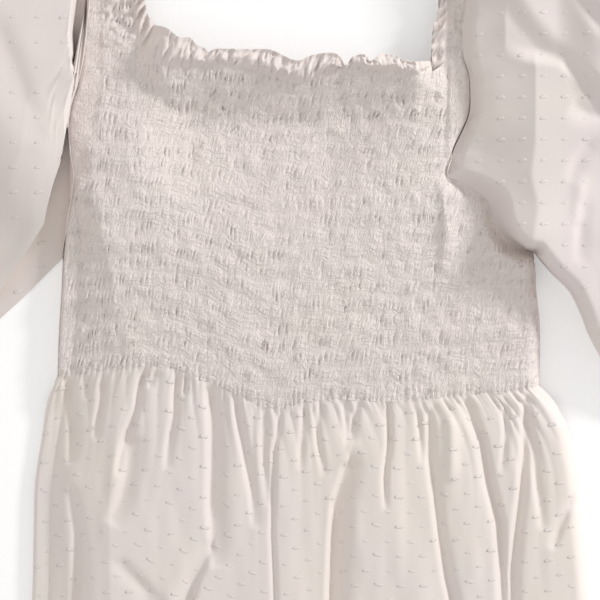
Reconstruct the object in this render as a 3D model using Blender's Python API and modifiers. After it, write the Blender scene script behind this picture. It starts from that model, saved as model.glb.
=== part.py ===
"""Peasant dress with a shirred bodice, square frilled neck, puff sleeves and gathered skirt.

The dress lies on its back, closed and smoothed out. x runs to the viewer's right, y from
the waist seam up to the neck and z up from the surface it lies on. The origin is the
middle of the waist, on that surface. Tables are in millimetres, and the cloth is open
sheets thickened inwards, sewn edge to edge with a narrow seam gap.
"""
import math

import bmesh
import bpy
import numpy as np
from mathutils import Vector

MM = 0.001

# Driving sizes, in millimetres
WALL = 1.5
SEAM_GAP = 0.5
CLOSED_SEAM = 0.01
LOW_EDGE = 3.0
SLEEVE_EDGE = 6.0
STRAP_HEIGHT = 14.0
PUFF_HEIGHT = 52.0
CUFF_DEPTH = 18.0
BACK_WAIST_DROP = 8.0
ROUND_LEFT = 46.0
ROUND_RIGHT = 24.0
GATHER_RAMP = 30.0
PUFF_START = 0.12
UNDERARM_EASE = 30.0
EASE_FADE = 8
FULL_FOLD_HEIGHT = 12.0
FRILL_RIPPLE = 2.0
FRILL_PITCH = 30.0

# Mesh divisions
BODY_COLUMNS = 26
SCOOP_COLUMNS = 8
LOW_LEVELS = (0.0, 0.3, 0.594, 0.8, 1.0)
LOW_ROWS = len(LOW_LEVELS) - 1
UNDERARM_ROW = 2
HIGH_ROWS = 4
STRAP_ROWS = 3
FOLD_ROWS = 3
SCOOP_START = 0.8
EVEN_SHARE = 0.35
EDGE_SAMPLES = 80

# Edges as x, y points
WAIST = [(-179.3, 19.8), (-157, 22), (-122, 26.5), (-100.7, 26.5), (-86.7, 23.5),
         (-66.2, 15.4), (-44.8, 5.1), (-16.9, -4.4), (0, 0), (41.9, 2.6), (63, 1.5),
         (98.5, 4), (126.4, 6.6), (155, 8.5), (177, 13)]
LEFT_LOW = [(-179.3, 19.8), (-178.3, 50), (-176, 90), (-175.3, 106), (-171.8, 132),
            (-166.1, 165.4)]
LEFT_HIGH = [(-166.1, 165.4), (-169.5, 190), (-169.8, 212), (-163.5, 234), (-159.5, 255)]
RIGHT_LOW = [(177, 13), (177, 61), (174.5, 85), (172.5, 111)]
SCOOP = [(108, 165.4), (129, 157), (139, 147), (144.8, 130), (153, 118.5), (163, 113),
         (172.5, 111)]
RIGHT_HIGH = [(108, 165.4), (113.2, 186.7), (119.1, 199.2), (124.2, 211.7),
              (125.3, 230.1), (124.2, 242.6), (120.2, 254)]
NECK_FRONT = [(-159.5, 255), (-140, 256.5), (-118, 256.5), (-106.6, 250), (-60, 247),
              (-32, 244), (-12.5, 237.8), (0, 234.8), (7, 236.5), (20, 243), (60, 243.5),
              (97, 243.5), (108, 251), (120.2, 254)]
NECK_BACK = [(-159.5, 255), (-140, 255), (-122, 252), (-111, 238), (-96, 231), (0, 229),
             (85, 231), (97, 238), (108, 251), (120.2, 254)]
FRILL_FRONT = [(-110, 279), (-98.5, 275.6), (-88, 268), (-78, 265), (-67, 258),
               (-50, 259.5), (-36, 259.5), (-20.6, 258.7), (-4, 251.6), (6.6, 254.3),
               (24, 256.5), (33, 248.5), (43, 255), (50.7, 251), (62, 255.4),
               (75.7, 251.4), (97, 251.4)]
FRILL_BACK = [(-111, 246), (-60, 245), (0, 244), (60, 245), (97, 246)]
SKIRT_LEFT = [(-179.3, 19.8), (-186, 2.2), (-191, -27), (-195.5, -57), (-197, -100),
              (-198, -145), (-208, -250), (-231, -400), (-258, -550), (-284, -676)]
SKIRT_RIGHT = [(177, 13), (186.7, 2.2), (194.8, -12.5), (202.9, -42), (208, -86),
               (212.4, -130), (224, -250), (246, -400), (270, -550), (292, -674)]
HEM = [(-284, -676), (-150, -684), (0, -686), (150, -684), (292, -674)]

# Which stretch of the neck edge each piece is sewn to: column number, x
NECK_STOPS_FRONT = [(0, -159.5), (4, -118), (22, 97), (23, 108), (26, 120.2)]
NECK_STOPS_BACK = [(0, -159.5), (4, -122), (5, -111), (22, 97), (23, 108), (26, 120.2)]

# First and last columns of the body that each strap and each neck frill is sewn to
STRAP_COLUMNS = {"left": (0, 4), "right": (23, 26)}
FRONT_FRILL_COLUMNS = slice(4, 23)
BACK_FRILL_COLUMNS = slice(5, 23)

# Straps and side frills: edges from the neck corner up to the shoulder, then their back ends
STRAPS = {
    "left": {"outer": [(-159.5, 255), (-157.3, 274), (-155.1, 296), (-150, 370)],
             "inner": [(-118, 256.5), (-121.5, 274), (-123.5, 296), (-123, 370)],
             "frill": [(-110, 279), (-112.5, 287), (-114.7, 297), (-112, 370)],
             "back_inner": (-122, 252), "back_frill": (-111, 238)},
    "right": {"outer": [(120.2, 254), (119.4, 275), (122.7, 296), (124, 370)],
              "inner": [(108, 251), (108.5, 270), (110.5, 296), (113, 370)],
              "frill": [(97, 243.5), (97.3, 266), (102.2, 296), (103, 370)],
              "back_inner": (108, 251), "back_frill": (97, 238)},
}

# Sleeves: upper and lower outline, where the puff ends across them, and the cuff direction
SLEEVES = {
    "left": {"upper": [(-150, 370), (-185, 394), (-240, 388), (-300, 340), (-345, 262),
                       (-366, 180), (-364, 120), (-352, 92)],
             "lower": [(-175.3, 106), (-191, 90.4), (-205.8, 75.7), (-220.5, 62.5),
                       (-240, 44), (-256, 26), (-272, 10)],
             "puff_end": [(0, 0.68), (0.06, 0.86), (0.2, 0.92), (1, 1)],
             "cuff_out": (-0.73, -0.68)},
    "right": {"upper": [(124, 370), (158, 394), (210, 386), (268, 342), (310, 270),
                        (334, 190), (340, 130), (330, 72)],
              "lower": [(172.5, 111), (186, 95), (199, 82), (207, 66), (213.2, 50),
                        (220.5, 36), (236, 14), (248, -2)],
              "puff_end": [(0, 1), (1, 1)],
              "cuff_out": (0.67, -0.74)},
}
SLEEVE_STATIONS = (0.0, 0.04, 0.12, 0.25, 0.42, 0.6, 0.78, 0.92, 1.0)
CUFF_STATIONS = (0.0, 0.5, 1.0)
SLEEVE_HEIGHTS = [(0, 0.45), (0.12, 0.86), (0.25, 1.0), (0.6, 1.0), (0.8, 0.86),
                  (0.92, 0.55), (1, 0.25)]

# Height of the front cloth down the dress: y, height
CROWN = [(-690, 18), (-550, 19), (-400, 20), (-145, 21), (-40, 21), (8, 19), (60, 22),
         (170, 21), (215, 17), (256, 14)]

# Height of the front cloth's side edges: y, height
RIM_LEFT = [(120, LOW_EDGE), (170, 6), (210, 10), (260, STRAP_HEIGHT)]
RIM_RIGHT = [(110, LOW_EDGE), (140, 9), (165, 12), (260, STRAP_HEIGHT)]

# Largest skirt folds: x near the waist, 75 mm down, 145 mm down, depth, half width
SKIRT_FOLDS = [
    (-166, -164, -163, 4.0, 8.0),
    (-117, -136, -142, 5.0, 9.0),
    (-90, -96, -97, 3.0, 8.0),
    (-61, -60, -55, 5.0, 11.0),
    (-39, -33, -66, 3.0, 9.0),
    (-17, -20, -18, 3.5, 7.0),
    (38, 36, 32, 7.0, 12.0),
    (64, 64, 66, 3.0, 8.0),
    (97, 103, 114, 5.0, 9.0),
    (128, 146, 151, 5.5, 9.0),
    (167, 163, 158, 4.5, 9.0),
]
FOLD_LEVELS = (-20.0, -75.0, -145.0)
FOLD_SPREAD = 0.4
SKIRT_LEVELS = (0.0, 0.025, 0.06, 0.11, 0.17, 0.24, 0.4, 0.6, 0.8, 1.0)
BACK_LEVELS = (0.0, 0.025, 0.06, 0.17, 0.4, 0.7, 1.0)

CLOTH_COLOURS = {
    "bodice": (0.70, 0.62, 0.58),
    "skirt": (0.77, 0.71, 0.67),
    "sleeve": (0.72, 0.66, 0.63),
    "frill": (0.68, 0.60, 0.58),
}


def smooth_value(knots, values, at):
    """Smooth cubic through the values given at the knots."""
    knots = np.asarray(knots, float)
    values = np.asarray(values, float)
    slopes = np.gradient(values, knots, axis=0)
    i = np.clip(np.searchsorted(knots, at, side="right") - 1, 0, len(knots) - 2)
    width = knots[i + 1] - knots[i]
    f = np.clip((at - knots[i]) / width, 0, 1)
    if values.ndim > 1:
        f = f[..., None]
        width = width[..., None]
    return ((1 + 2 * f) * (1 - f) ** 2 * values[i] + f * (1 - f) ** 2 * width * slopes[i]
            + f ** 2 * (3 - 2 * f) * values[i + 1] + f ** 2 * (f - 1) * width * slopes[i + 1])


def table_value(rows, at):
    """Second column of a table, read at values of its first."""
    rows = np.asarray(rows, float)
    return smooth_value(rows[:, 0], rows[:, 1], at)


def edge_points(points, fractions):
    """Points at fractions of the length of the smooth edge through some points."""
    points = np.asarray(points, float)
    steps = np.linalg.norm(np.diff(points, axis=0), axis=1)
    knots = np.concatenate([[0.0], np.cumsum(steps)]) / steps.sum()
    return smooth_value(knots, points, np.asarray(fractions, float))


def blend_patch(bottom, top, left, right, across, up):
    """Plan of a patch whose four edges are given at the fractions across and up."""
    u = across[None, :, None]
    v = up[:, None, None]
    corners = ((1 - u) * (1 - v) * bottom[0] + u * (1 - v) * bottom[-1]
               + (1 - u) * v * top[0] + u * v * top[-1])
    return ((1 - v) * bottom[None] + v * top[None] + (1 - u) * left[:, None]
            + u * right[:, None] - corners)


def body_columns():
    """Fractions across the body, closer together towards both side seams."""
    steps = np.arange(BODY_COLUMNS + 1) / BODY_COLUMNS
    main = EVEN_SHARE * steps + (1 - EVEN_SHARE) * (1 - np.cos(steps * math.pi / 2))
    steps = np.arange(1, SCOOP_COLUMNS + 1) / SCOOP_COLUMNS
    rest = EVEN_SHARE * steps + (1 - EVEN_SHARE) * np.sin(steps * math.pi / 2)
    return np.concatenate([main * SCOOP_START, SCOOP_START + rest * (1 - SCOOP_START)])


def waist_points(drop):
    """Points of the waist seam under each column, lower in the middle by drop."""
    x = WAIST[0][0] + body_columns() * (WAIST[-1][0] - WAIST[0][0])
    sag = drop * (1 - np.clip((x / WAIST[-1][0]) ** 2, 0, 1))
    return np.stack([x, table_value(WAIST, x) - sag], axis=-1)


def neck_points(edge, stops):
    """Points of a neck edge above each column of the body."""
    stops = np.asarray(stops, float)
    x = np.interp(np.arange(BODY_COLUMNS + 1), stops[:, 0], stops[:, 1])
    return np.stack([x, table_value(edge, x)], axis=-1)


def armhole_low(columns):
    """The level line under the armholes, then the right armhole's scoop."""
    level = [LEFT_HIGH[0], SCOOP[0]]
    main = edge_points(level, columns[:BODY_COLUMNS + 1] / SCOOP_START)
    scoop = edge_points(SCOOP, (columns[BODY_COLUMNS + 1:] - SCOOP_START) / (1 - SCOOP_START))
    return np.concatenate([main, scoop])


def bodice_plan(drop, neck, stops):
    """Rows of plan points of a bodice panel, waist to neck."""
    columns = body_columns()
    low_up = np.array(LOW_LEVELS)
    high_up = np.linspace(0, 1, HIGH_ROWS + 1)
    waist = waist_points(drop)
    level = armhole_low(columns)
    low = blend_patch(waist, level, edge_points(LEFT_LOW, low_up),
                      edge_points(RIGHT_LOW, low_up), columns, low_up)
    main = columns[:BODY_COLUMNS + 1] / SCOOP_START
    high = blend_patch(level[:BODY_COLUMNS + 1], neck_points(neck, stops),
                       edge_points(LEFT_HIGH, high_up), edge_points(RIGHT_HIGH, high_up),
                       main, high_up)
    unused = np.repeat(high[1:, -1:], SCOOP_COLUMNS, axis=1)
    return np.concatenate([low, np.concatenate([high[1:], unused], axis=1)])


def skirt_plan(drop, levels):
    """Rows of plan points of a skirt panel, hem to waist."""
    columns = body_columns()
    up = 1 - np.asarray(levels)[::-1]
    hem = edge_points(HEM, columns)
    left = edge_points(SKIRT_LEFT[::-1], up)
    right = edge_points(SKIRT_RIGHT[::-1], up)
    return blend_patch(hem, waist_points(drop), left, right, columns, up)


def rim_height(y, right):
    """Height of the front cloth at its side edge: low at the side seam, up the armhole."""
    levels, heights = np.array(RIM_RIGHT if right else RIM_LEFT).T
    return np.interp(y, levels, heights)


def edge_distance(plan, edge):
    """Distance in the plan from each point to an edge."""
    fine = edge_points(edge, np.linspace(0, 1, EDGE_SAMPLES))
    return np.sqrt(((plan[..., None, :] - fine) ** 2).sum(-1)).min(-1)


def rounded_height(plan, left_edge, right_edge):
    """Height of the front cloth: a low crown that rolls down to both side edges."""
    x, y = plan[..., 0], plan[..., 1]
    height = table_value(CROWN, y)
    for edge, radius, right in ((left_edge, ROUND_LEFT, False),
                                (right_edge, ROUND_RIGHT, True)):
        inside = np.clip(edge_distance(plan, edge) / radius, 0, 1)
        roll = np.sqrt(1 - (1 - inside) ** 2)
        rim = rim_height(y, right)
        height = np.where((x > 0) == right, rim + (height - rim) * roll, height)
    return height


def fold_depth(plan):
    """Depth of the largest skirt folds, which open below the gathers."""
    x, y = plan[..., 0], plan[..., 1]
    flare = np.clip((FOLD_LEVELS[2] - y) / (FOLD_LEVELS[2] - HEM[2][1]), 0, 1)
    spread = 1 + FOLD_SPREAD * flare
    depth = np.zeros_like(x)
    for near, middle, low, deep, half_width in SKIRT_FOLDS:
        centre = np.interp(-y, [-level for level in FOLD_LEVELS], (near, middle, low))
        offset = (x - centre * spread) / (half_width * spread)
        depth += deep * np.exp(-offset ** 2)
    below = table_value(WAIST, x) - y
    ramp = np.clip(below / GATHER_RAMP, 0, 1)
    return depth * ramp ** 2 * (3 - 2 * ramp)


def new_material(name, colour):
    """Plain cotton of one colour."""
    material = bpy.data.materials.new(name)
    material.use_nodes = True
    shader = material.node_tree.nodes["Principled BSDF"]
    shader.inputs["Base Color"].default_value = (*colour, 1.0)
    shader.inputs["Roughness"].default_value = 0.85
    shader.inputs["Metallic"].default_value = 0.0
    return material


def pull_in_edges(bm, gap):
    """Move the sheet's open edges inwards, so that sewn pieces stay a gap apart."""
    pulls = {}
    for edge in bm.edges:
        if edge.is_boundary:
            face = edge.link_faces[0]
            run = (edge.verts[1].co - edge.verts[0].co).normalized()
            inward = face.normal.cross(run)
            if inward.dot(face.calc_center_median() - edge.verts[0].co) < 0:
                inward.negate()
            for vert in edge.verts:
                pulls.setdefault(vert, []).append(inward)
    for vert, inwards in pulls.items():
        total = sum(inwards, Vector())
        vert.co += total * (2 * gap / max(total.length_squared, 1.0))
        vert.co.z = max(vert.co.z, 0.0)


def cloth_piece(collection, name, points, colour, face_up=True, closed=False, keep=None):
    """A grid laid on rows of points, thickened inwards to a cloth wall."""
    rows, columns = points.shape[:2]
    bm = bmesh.new()
    bmesh.ops.create_grid(bm, x_segments=columns - 1, y_segments=rows - 1, size=1.0)
    place = {}
    for vert in bm.verts:
        column = round((vert.co.x + 1) / 2 * (columns - 1))
        row = round((vert.co.y + 1) / 2 * (rows - 1))
        place[vert] = (row, column)
    if keep is not None:
        dropped = [face for face in bm.faces
                   if not keep(min(place[vert] for vert in face.verts))]
        bmesh.ops.delete(bm, geom=dropped, context="FACES")
    for vert in bm.verts:
        vert.co = Vector(points[place[vert]]) * MM
    if closed:
        bmesh.ops.remove_doubles(bm, verts=bm.verts, dist=CLOSED_SEAM * MM)
    bm.normal_update()
    middle = sum(face.calc_center_median().z for face in bm.faces) / len(bm.faces)
    if closed or face_up is None:
        facing = sum(face.normal.z * face.calc_area() * (face.calc_center_median().z - middle)
                     for face in bm.faces)
    else:
        facing = sum(face.normal.z for face in bm.faces) * (1 if face_up else -1)
    if facing < 0:
        bmesh.ops.reverse_faces(bm, faces=bm.faces)
    bm.normal_update()
    pull_in_edges(bm, SEAM_GAP / 2 * MM)
    mesh = bpy.data.meshes.new(name)
    bm.to_mesh(mesh)
    bm.free()
    mesh.materials.append(new_material(name + "_cotton", CLOTH_COLOURS[colour]))
    mesh.shade_smooth()
    piece = bpy.data.objects.new(name, mesh)
    collection.objects.link(piece)
    wall = piece.modifiers.new("Wall", "SOLIDIFY")
    wall.thickness = WALL * MM
    wall.offset = -1.0
    return piece


def with_height(plan, height):
    """Plan points and their heights as rows of points."""
    return np.concatenate([plan, np.broadcast_to(height, plan.shape[:2])[..., None]], axis=-1)


def inside_scoop(place):
    """True for the cells of the bodice grid that aren't cut away by the right armhole."""
    row, column = place
    return row < LOW_ROWS or column < BODY_COLUMNS


def make_bodice(collection):
    """Front and back bodice panels."""
    plan = bodice_plan(0.0, NECK_FRONT, NECK_STOPS_FRONT)
    left = LEFT_LOW + LEFT_HIGH[1:]
    right = RIGHT_LOW + SCOOP[::-1][1:] + RIGHT_HIGH[1:]
    front = with_height(plan, rounded_height(plan, left, right))
    cloth_piece(collection, "bodice_front", front, "bodice", keep=inside_scoop)
    plan = bodice_plan(BACK_WAIST_DROP, NECK_BACK, NECK_STOPS_BACK)
    back = with_height(plan, 0.0)
    cloth_piece(collection, "bodice_back", back, "bodice", face_up=False, keep=inside_scoop)
    return front, back


def make_skirt(collection):
    """Front and back skirt panels, with the front's folds."""
    plan = skirt_plan(0.0, SKIRT_LEVELS)
    height = rounded_height(plan, SKIRT_LEFT, SKIRT_RIGHT)
    lift = np.clip((height - LOW_EDGE) / FULL_FOLD_HEIGHT, 0, 1)
    front = with_height(plan, height - fold_depth(plan) * lift)
    cloth_piece(collection, "skirt_front", front, "skirt")
    plan = skirt_plan(BACK_WAIST_DROP, BACK_LEVELS)
    cloth_piece(collection, "skirt_back", with_height(plan, 0.0), "skirt", face_up=False)


def hairpin(front_edge, back_end):
    """One lengthwise line of a strap: up the front, over the shoulder and down the back."""
    up = edge_points(front_edge, np.linspace(0, 1, STRAP_ROWS + 1))
    angles = np.arange(1, FOLD_ROWS) / FOLD_ROWS * math.pi
    radius = STRAP_HEIGHT / 2
    rows = [(x, y, STRAP_HEIGHT) for x, y in up]
    rows += [(up[-1, 0], up[-1, 1] + radius * math.sin(a), radius + radius * math.cos(a))
             for a in angles]
    share = np.linspace(0, 1, STRAP_ROWS + 1)[:, None]
    down = up[::-1] + share * (np.array(back_end) - up[0])
    rows += [(x, y, 0.0) for x, y in down]
    return np.array(rows)


def strap_lines(side):
    """The outer, inner and frill lines of a shoulder strap."""
    table = STRAPS[side]
    outer = hairpin(table["outer"], table["outer"][0])
    inner = hairpin(table["inner"], table["back_inner"])
    frill = hairpin(table["frill"], table["back_frill"])
    return outer, inner, frill


def make_straps(collection):
    """Both shoulder straps with the frills along their neck edges."""
    front_neck = neck_points(NECK_FRONT, NECK_STOPS_FRONT)
    back_neck = neck_points(NECK_BACK, NECK_STOPS_BACK)
    for side, (first, last) in STRAP_COLUMNS.items():
        outer, inner, frill = strap_lines(side)
        if side == "right":
            outer, inner = inner, outer
        across = np.linspace(0, 1, last - first + 1)[None, :, None]
        strap = outer[:, None] * (1 - across) + inner[:, None] * across
        strap[0, :, :2] = front_neck[first:last + 1]
        strap[-1, :, :2] = back_neck[first:last + 1]
        cloth_piece(collection, "strap_" + side, strap, "bodice", face_up=None)
        seam = outer if side == "right" else inner
        edge = np.stack([seam, frill], axis=1)
        middle = (edge[:, :1] + edge[:, 1:]) / 2
        cloth_piece(collection, "neck_frill_" + side,
                    np.concatenate([edge[:, :1], middle, edge[:, 1:]], axis=1), "frill",
                    face_up=None)


def make_neck_frills(collection):
    """Frilled headings above the front and the back neck."""
    lower = neck_points(NECK_FRONT, NECK_STOPS_FRONT)[FRONT_FRILL_COLUMNS]
    share = (lower[:, 0] - lower[0, 0]) / (lower[-1, 0] - lower[0, 0])
    x = FRILL_FRONT[0][0] + share * (FRILL_FRONT[-1][0] - FRILL_FRONT[0][0])
    upper = np.stack([x, table_value(FRILL_FRONT, x)], axis=-1)
    ripple = FRILL_RIPPLE * np.sin(x * 2 * math.pi / FRILL_PITCH)
    rows = [with_height(lower[None], STRAP_HEIGHT)[0],
            with_height((lower[None] + upper[None]) / 2, STRAP_HEIGHT + ripple / 2)[0],
            with_height(upper[None], STRAP_HEIGHT + ripple)[0]]
    cloth_piece(collection, "neck_frill_front", np.array(rows), "frill")
    lower = neck_points(NECK_BACK, NECK_STOPS_BACK)[BACK_FRILL_COLUMNS]
    upper = np.stack([lower[:, 0], table_value(FRILL_BACK, lower[:, 0])], axis=-1)
    rows = with_height(np.stack([lower, upper]), 0.0)
    cloth_piece(collection, "neck_frill_back", rows, "frill", face_up=False)


def armhole_seam(side, panel):
    """Points of one bodice panel's armhole edge, from the underarm up to the strap."""
    if side == "left":
        return panel[UNDERARM_ROW:, 0]
    return np.concatenate([panel[LOW_ROWS, BODY_COLUMNS + 1:][::-1],
                           panel[LOW_ROWS:, BODY_COLUMNS]])


def seam_shares(seam):
    """Share of the armhole passed at each point, 1 at the underarm and 0 at the shoulder."""
    steps = np.linalg.norm(np.diff(seam[:, :2], axis=0), axis=1)
    return 1 - np.concatenate([[0.0], np.cumsum(steps)]) / steps.sum()


def sleeve_rings(side, front_panel, back_panel):
    """Rings of a puff sleeve, from its armhole to its cuff line."""
    table = SLEEVES[side]
    strap = strap_lines(side)[0]
    front = np.concatenate([armhole_seam(side, front_panel), strap[1:STRAP_ROWS + 1]])
    front[:, 2] = np.maximum(front[:, 2], SLEEVE_EDGE)
    fold = strap[STRAP_ROWS + 1:STRAP_ROWS + FOLD_ROWS]
    back = np.concatenate([strap[STRAP_ROWS + FOLD_ROWS:-1],
                           armhole_seam(side, back_panel)[::-1]])
    front_share = seam_shares(front)
    back_share = seam_shares(back[::-1])[::-1]
    fold_angles = np.arange(1, FOLD_ROWS) / FOLD_ROWS * math.pi
    stations = np.array(SLEEVE_STATIONS)
    upper = edge_points(table["upper"], stations)
    lower = edge_points(table["lower"], stations)
    rings = [np.concatenate([front, fold, back])]
    for s, top, bottom in zip(stations[1:], upper[1:], lower[1:]):
        layers = []
        top_bulge = top - (1 - s) * upper[0] - s * upper[-1]
        bottom_bulge = bottom - (1 - s) * lower[0] - s * lower[-1]
        ease = 1 + UNDERARM_EASE * (1 - s) ** EASE_FADE
        for seam, share in ((front, front_share), (back, back_share)):
            t = share[:, None]
            cuff = upper[-1] * (1 - t) + lower[-1] * t
            layers.append((1 - s) * seam[:, :2] + s * cuff
                          + (1 - t ** ease) * top_bulge + t ** ease * bottom_bulge)
        puff_end = np.interp(s, *np.array(table["puff_end"]).T)
        across = np.clip(front_share / puff_end, 0, 1)
        full = PUFF_HEIGHT * table_value(SLEEVE_HEIGHTS, s)
        body = SLEEVE_EDGE + (full - SLEEVE_EDGE) * np.sqrt(4 * across * (1 - across))
        rise = math.sin(min(s / PUFF_START, 1.0) * math.pi / 2)
        height = front[:, 2] * (1 - rise) + body * rise
        radius = height[-1] / 2
        outward = (top - bottom) / np.linalg.norm(top - bottom)
        edge = [(*(top + outward * radius * math.sin(a)), radius + radius * math.cos(a))
                for a in fold_angles]
        rings.append(np.concatenate([with_height(layers[0][None], height[None])[0], edge,
                                     with_height(layers[1][None], 0.0)[0]]))
    return np.array(rings)


def close_ring(rings):
    """Repeat each ring's first point, so that the last cell closes it."""
    return np.concatenate([rings, rings[:, :1]], axis=1)


def make_sleeves(collection, front_panel, back_panel):
    """Both puff sleeves, pressed flat below and full above, with their cuffs."""
    for side in ("left", "right"):
        rings = sleeve_rings(side, front_panel, back_panel)
        cloth_piece(collection, "sleeve_" + side, close_ring(rings), "sleeve", closed=True)
        out = np.array([*SLEEVES[side]["cuff_out"], 0.0]) * CUFF_DEPTH
        cuff = np.array([rings[-1] + out * share for share in CUFF_STATIONS])
        cloth_piece(collection, "cuff_" + side, close_ring(cuff), "sleeve", closed=True)


def make_dress():
    """All the pieces, in one collection."""
    for old in list(bpy.data.objects):
        bpy.data.objects.remove(old, do_unlink=True)
    collection = bpy.data.collections.new("peasant_dress")
    bpy.context.scene.collection.children.link(collection)
    front_panel, back_panel = make_bodice(collection)
    make_skirt(collection)
    make_straps(collection)
    make_neck_frills(collection)
    make_sleeves(collection, front_panel, back_panel)


make_dress()
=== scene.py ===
"""Peasant dress laid flat: shirred bodice, square frilled neck, puff sleeves, gathered skirt.

Every piece of cloth is a thin sheet on the form of its solid. x runs to the viewer's
right, y from the waist seam up to the neck and z up from the surface. Tables are in
millimetres. The main folds are listed one by one; puckers and gathers follow rules.
"""
import math

import bpy
import numpy as np
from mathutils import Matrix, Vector


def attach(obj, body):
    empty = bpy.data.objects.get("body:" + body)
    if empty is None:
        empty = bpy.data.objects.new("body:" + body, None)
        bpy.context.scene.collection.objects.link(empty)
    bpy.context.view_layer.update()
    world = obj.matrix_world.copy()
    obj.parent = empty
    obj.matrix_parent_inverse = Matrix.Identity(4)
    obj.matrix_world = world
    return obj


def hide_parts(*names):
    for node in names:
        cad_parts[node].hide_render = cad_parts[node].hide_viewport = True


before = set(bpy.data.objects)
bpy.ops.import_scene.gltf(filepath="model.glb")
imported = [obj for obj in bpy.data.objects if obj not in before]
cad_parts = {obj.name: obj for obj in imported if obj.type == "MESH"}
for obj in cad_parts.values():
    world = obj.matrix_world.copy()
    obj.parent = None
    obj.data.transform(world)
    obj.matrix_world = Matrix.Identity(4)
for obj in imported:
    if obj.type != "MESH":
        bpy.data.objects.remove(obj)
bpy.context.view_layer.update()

MM = 0.001

# Cloth: its wall, and the heights that its edges and fullest places have
CLOTH_WALL = 0.7
CRISP_ANGLE = math.radians(48)
SEAM_EDGE = 1.2
LOWEST_TOP = SEAM_EDGE - 0.2
SLEEVE_EDGE = 3.0
STRAP_HEIGHT = 14.0
SEAM_TUCK = 1.3
PUFF_HEIGHT = 54.0
CUFF_DEPTH = 18.0
BACK_WAIST_DROP = 8.0
UNDERARM_EASE = 30.0

# Side edges of the front: a flat shelf at the left, a narrow roll at the right
ROUND_RIGHT = 11.0
LEFT_SHELF = 12.0
LEFT_SHELF_WIDTH = 13.0
LEFT_SHELF_TURN = 3.0
LEFT_SHELF_FADE = (110, 165)
SKIRT_SHELF = 6.0
SKIRT_SHELF_RISE = (-10, 22)
ROLL_ROUND = 0.2
RIGHT_ARM_START = (100, 114)
RIGHT_ARM_END = (162, 172)

# Dips along the seams
DIP_WIDTH = 1.4
SIDE_DIP = 0.9
WAIST_DIP = 0.35
STRAP_DIP = 0.3

# Shirring
ROW_COUNT = 19
ROW_PITCH = 0.0127
ROW_PUFF = 0.8
ROW_SHIFT = 0.618
PUCKER_PITCH = 3.4
PUCKER_DEPTH = 2.4
PUCKER_LEAN = 2.0
PUCKER_REACH = 0.27
PUCKER_STRIDE = 1.37
PUCKER_STRENGTH = 0.5
STRENGTH_LIMITS = (0.08, 1.3)
SLIT_SHARPNESS = 0.55
NECK_PUCKERS = (195, 225)
NECK_PUCKER_GAIN = 0.5
FRONT_PUCKERS = 11
BACK_PUCKERS = 31

# How puckers vary: amount, length across, steps a row, offset, step of the seed
LEAN_CHANGE = (3.6, 15, 2.9, 0, 0)
SWAY_CHANGE = (1.2, 7.5, 3.7, 0, 1)
STRENGTH_CHANGE = (0.75, 1, 2.3, 0, 2)
PATCH_CHANGE = (0.35, 22, 1 / 2.2, 0, 4)
MIDDLE_CHANGE = (0.25, 1, 1.9, 0.4, 6)
MOUND_CHANGE = (0.55, 6.0, 1.6, 0.5, 3)

# Irregular waves: height, length across, length up, seed. One that runs along a line only
# is read at MIDLINE
MIDLINE = 0.5
WAIST_TUCKS = [(SEAM_TUCK, 2.7, 1, 91)]
NECK_TUCKS = [(SEAM_TUCK, 2.9, 1, 92)]
ROW_SWAYS = [(0.2, 11, 1 / 0.7, 15), (0.12, 4, 1, 16)]
BODICE_WAVES = [(0.9, 24, 13, 5), (0.7, 9, 7, 6)]
SKIRT_BROAD_WAVES = [(1.3, 17, 75, 22)]
SKIRT_FINE_WAVES = [(0.5, 8, 30, 23)]
HEM_WAVES = [(3.2, 15, 260, 24)]
RUFFLE_SWAY = [(3, 14, 1, 61)]
RUFFLE_EDGE = [(2.2, 6.5, 1, 63)]
PLEAT_SWAY = [(1.1, 12, 1, 71)]
FRILL_WAVES = [(1.8, 9, 1, 72)]
BACK_FRILL_SWAY = [(1, 25, 1, 75)]
SLEEVE_WAVES = [(1.6, 34, 30, 81)]
SLEEVE_HEAD_GATHERS = [(1.6, 9, 40, 83)]
CUFF_GATHERS = [(2.4, 8, 1, 84)]
PATCH_WANDER = [(2.4, 24, 1, 85)]

# Gathers below the waist, fine and broad: pitch, sway, its length across and down, height, reach
FINE_GATHERS = (4.1, 0.9, 8, 40, 1.5, 8)
BROAD_GATHERS = (9.4, 0.8, 15, 60, 2.2, 24)
GATHER_ROUNDNESS = 0.8
GATHER_MIDDLE = 0.6
REACH_CHANGE = (0.6, 12)
BROAD_START = 7
FRONT_GATHERS = 21
BACK_GATHERS = 41
BODICE_GATHER_HEIGHT = 1.1
BODICE_GATHER_REACH = 4.5

# Crushed cloth: lengths of its broad and fine dents, how the fine ones slant, how sharp all are
BROAD_DENT = (5.5, 6.5)
FINE_DENT = (2.9, 3.6)
DENT_SLANT = (0.6, 0.4)
DENT_SHARPNESS = 2.4
BROAD_DENT_SHARE = 0.6

# Cloth that the pieces were cut from, in metres: width and length, area if it isn't the whole
SKIRT_CUT = ((0.67, 0.70), 0.41)
SKIRT_WAIST_CUT = 0.50

# Mesh divisions: columns of the body and under the right armhole, rows to it and above it
FRONT_BODICE_GRID = (344, 86, 70, 40)
BACK_BODICE_GRID = (132, 32, 48, 28)
FRONT_SKIRT_COLUMNS = (256, 64)
BACK_SKIRT_COLUMNS = (130, 32)
SCOOP_START = 0.8
EVEN_COLUMNS = 0.7
EDGE_STEPS = 60
SEAM_SKIP = 3

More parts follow.
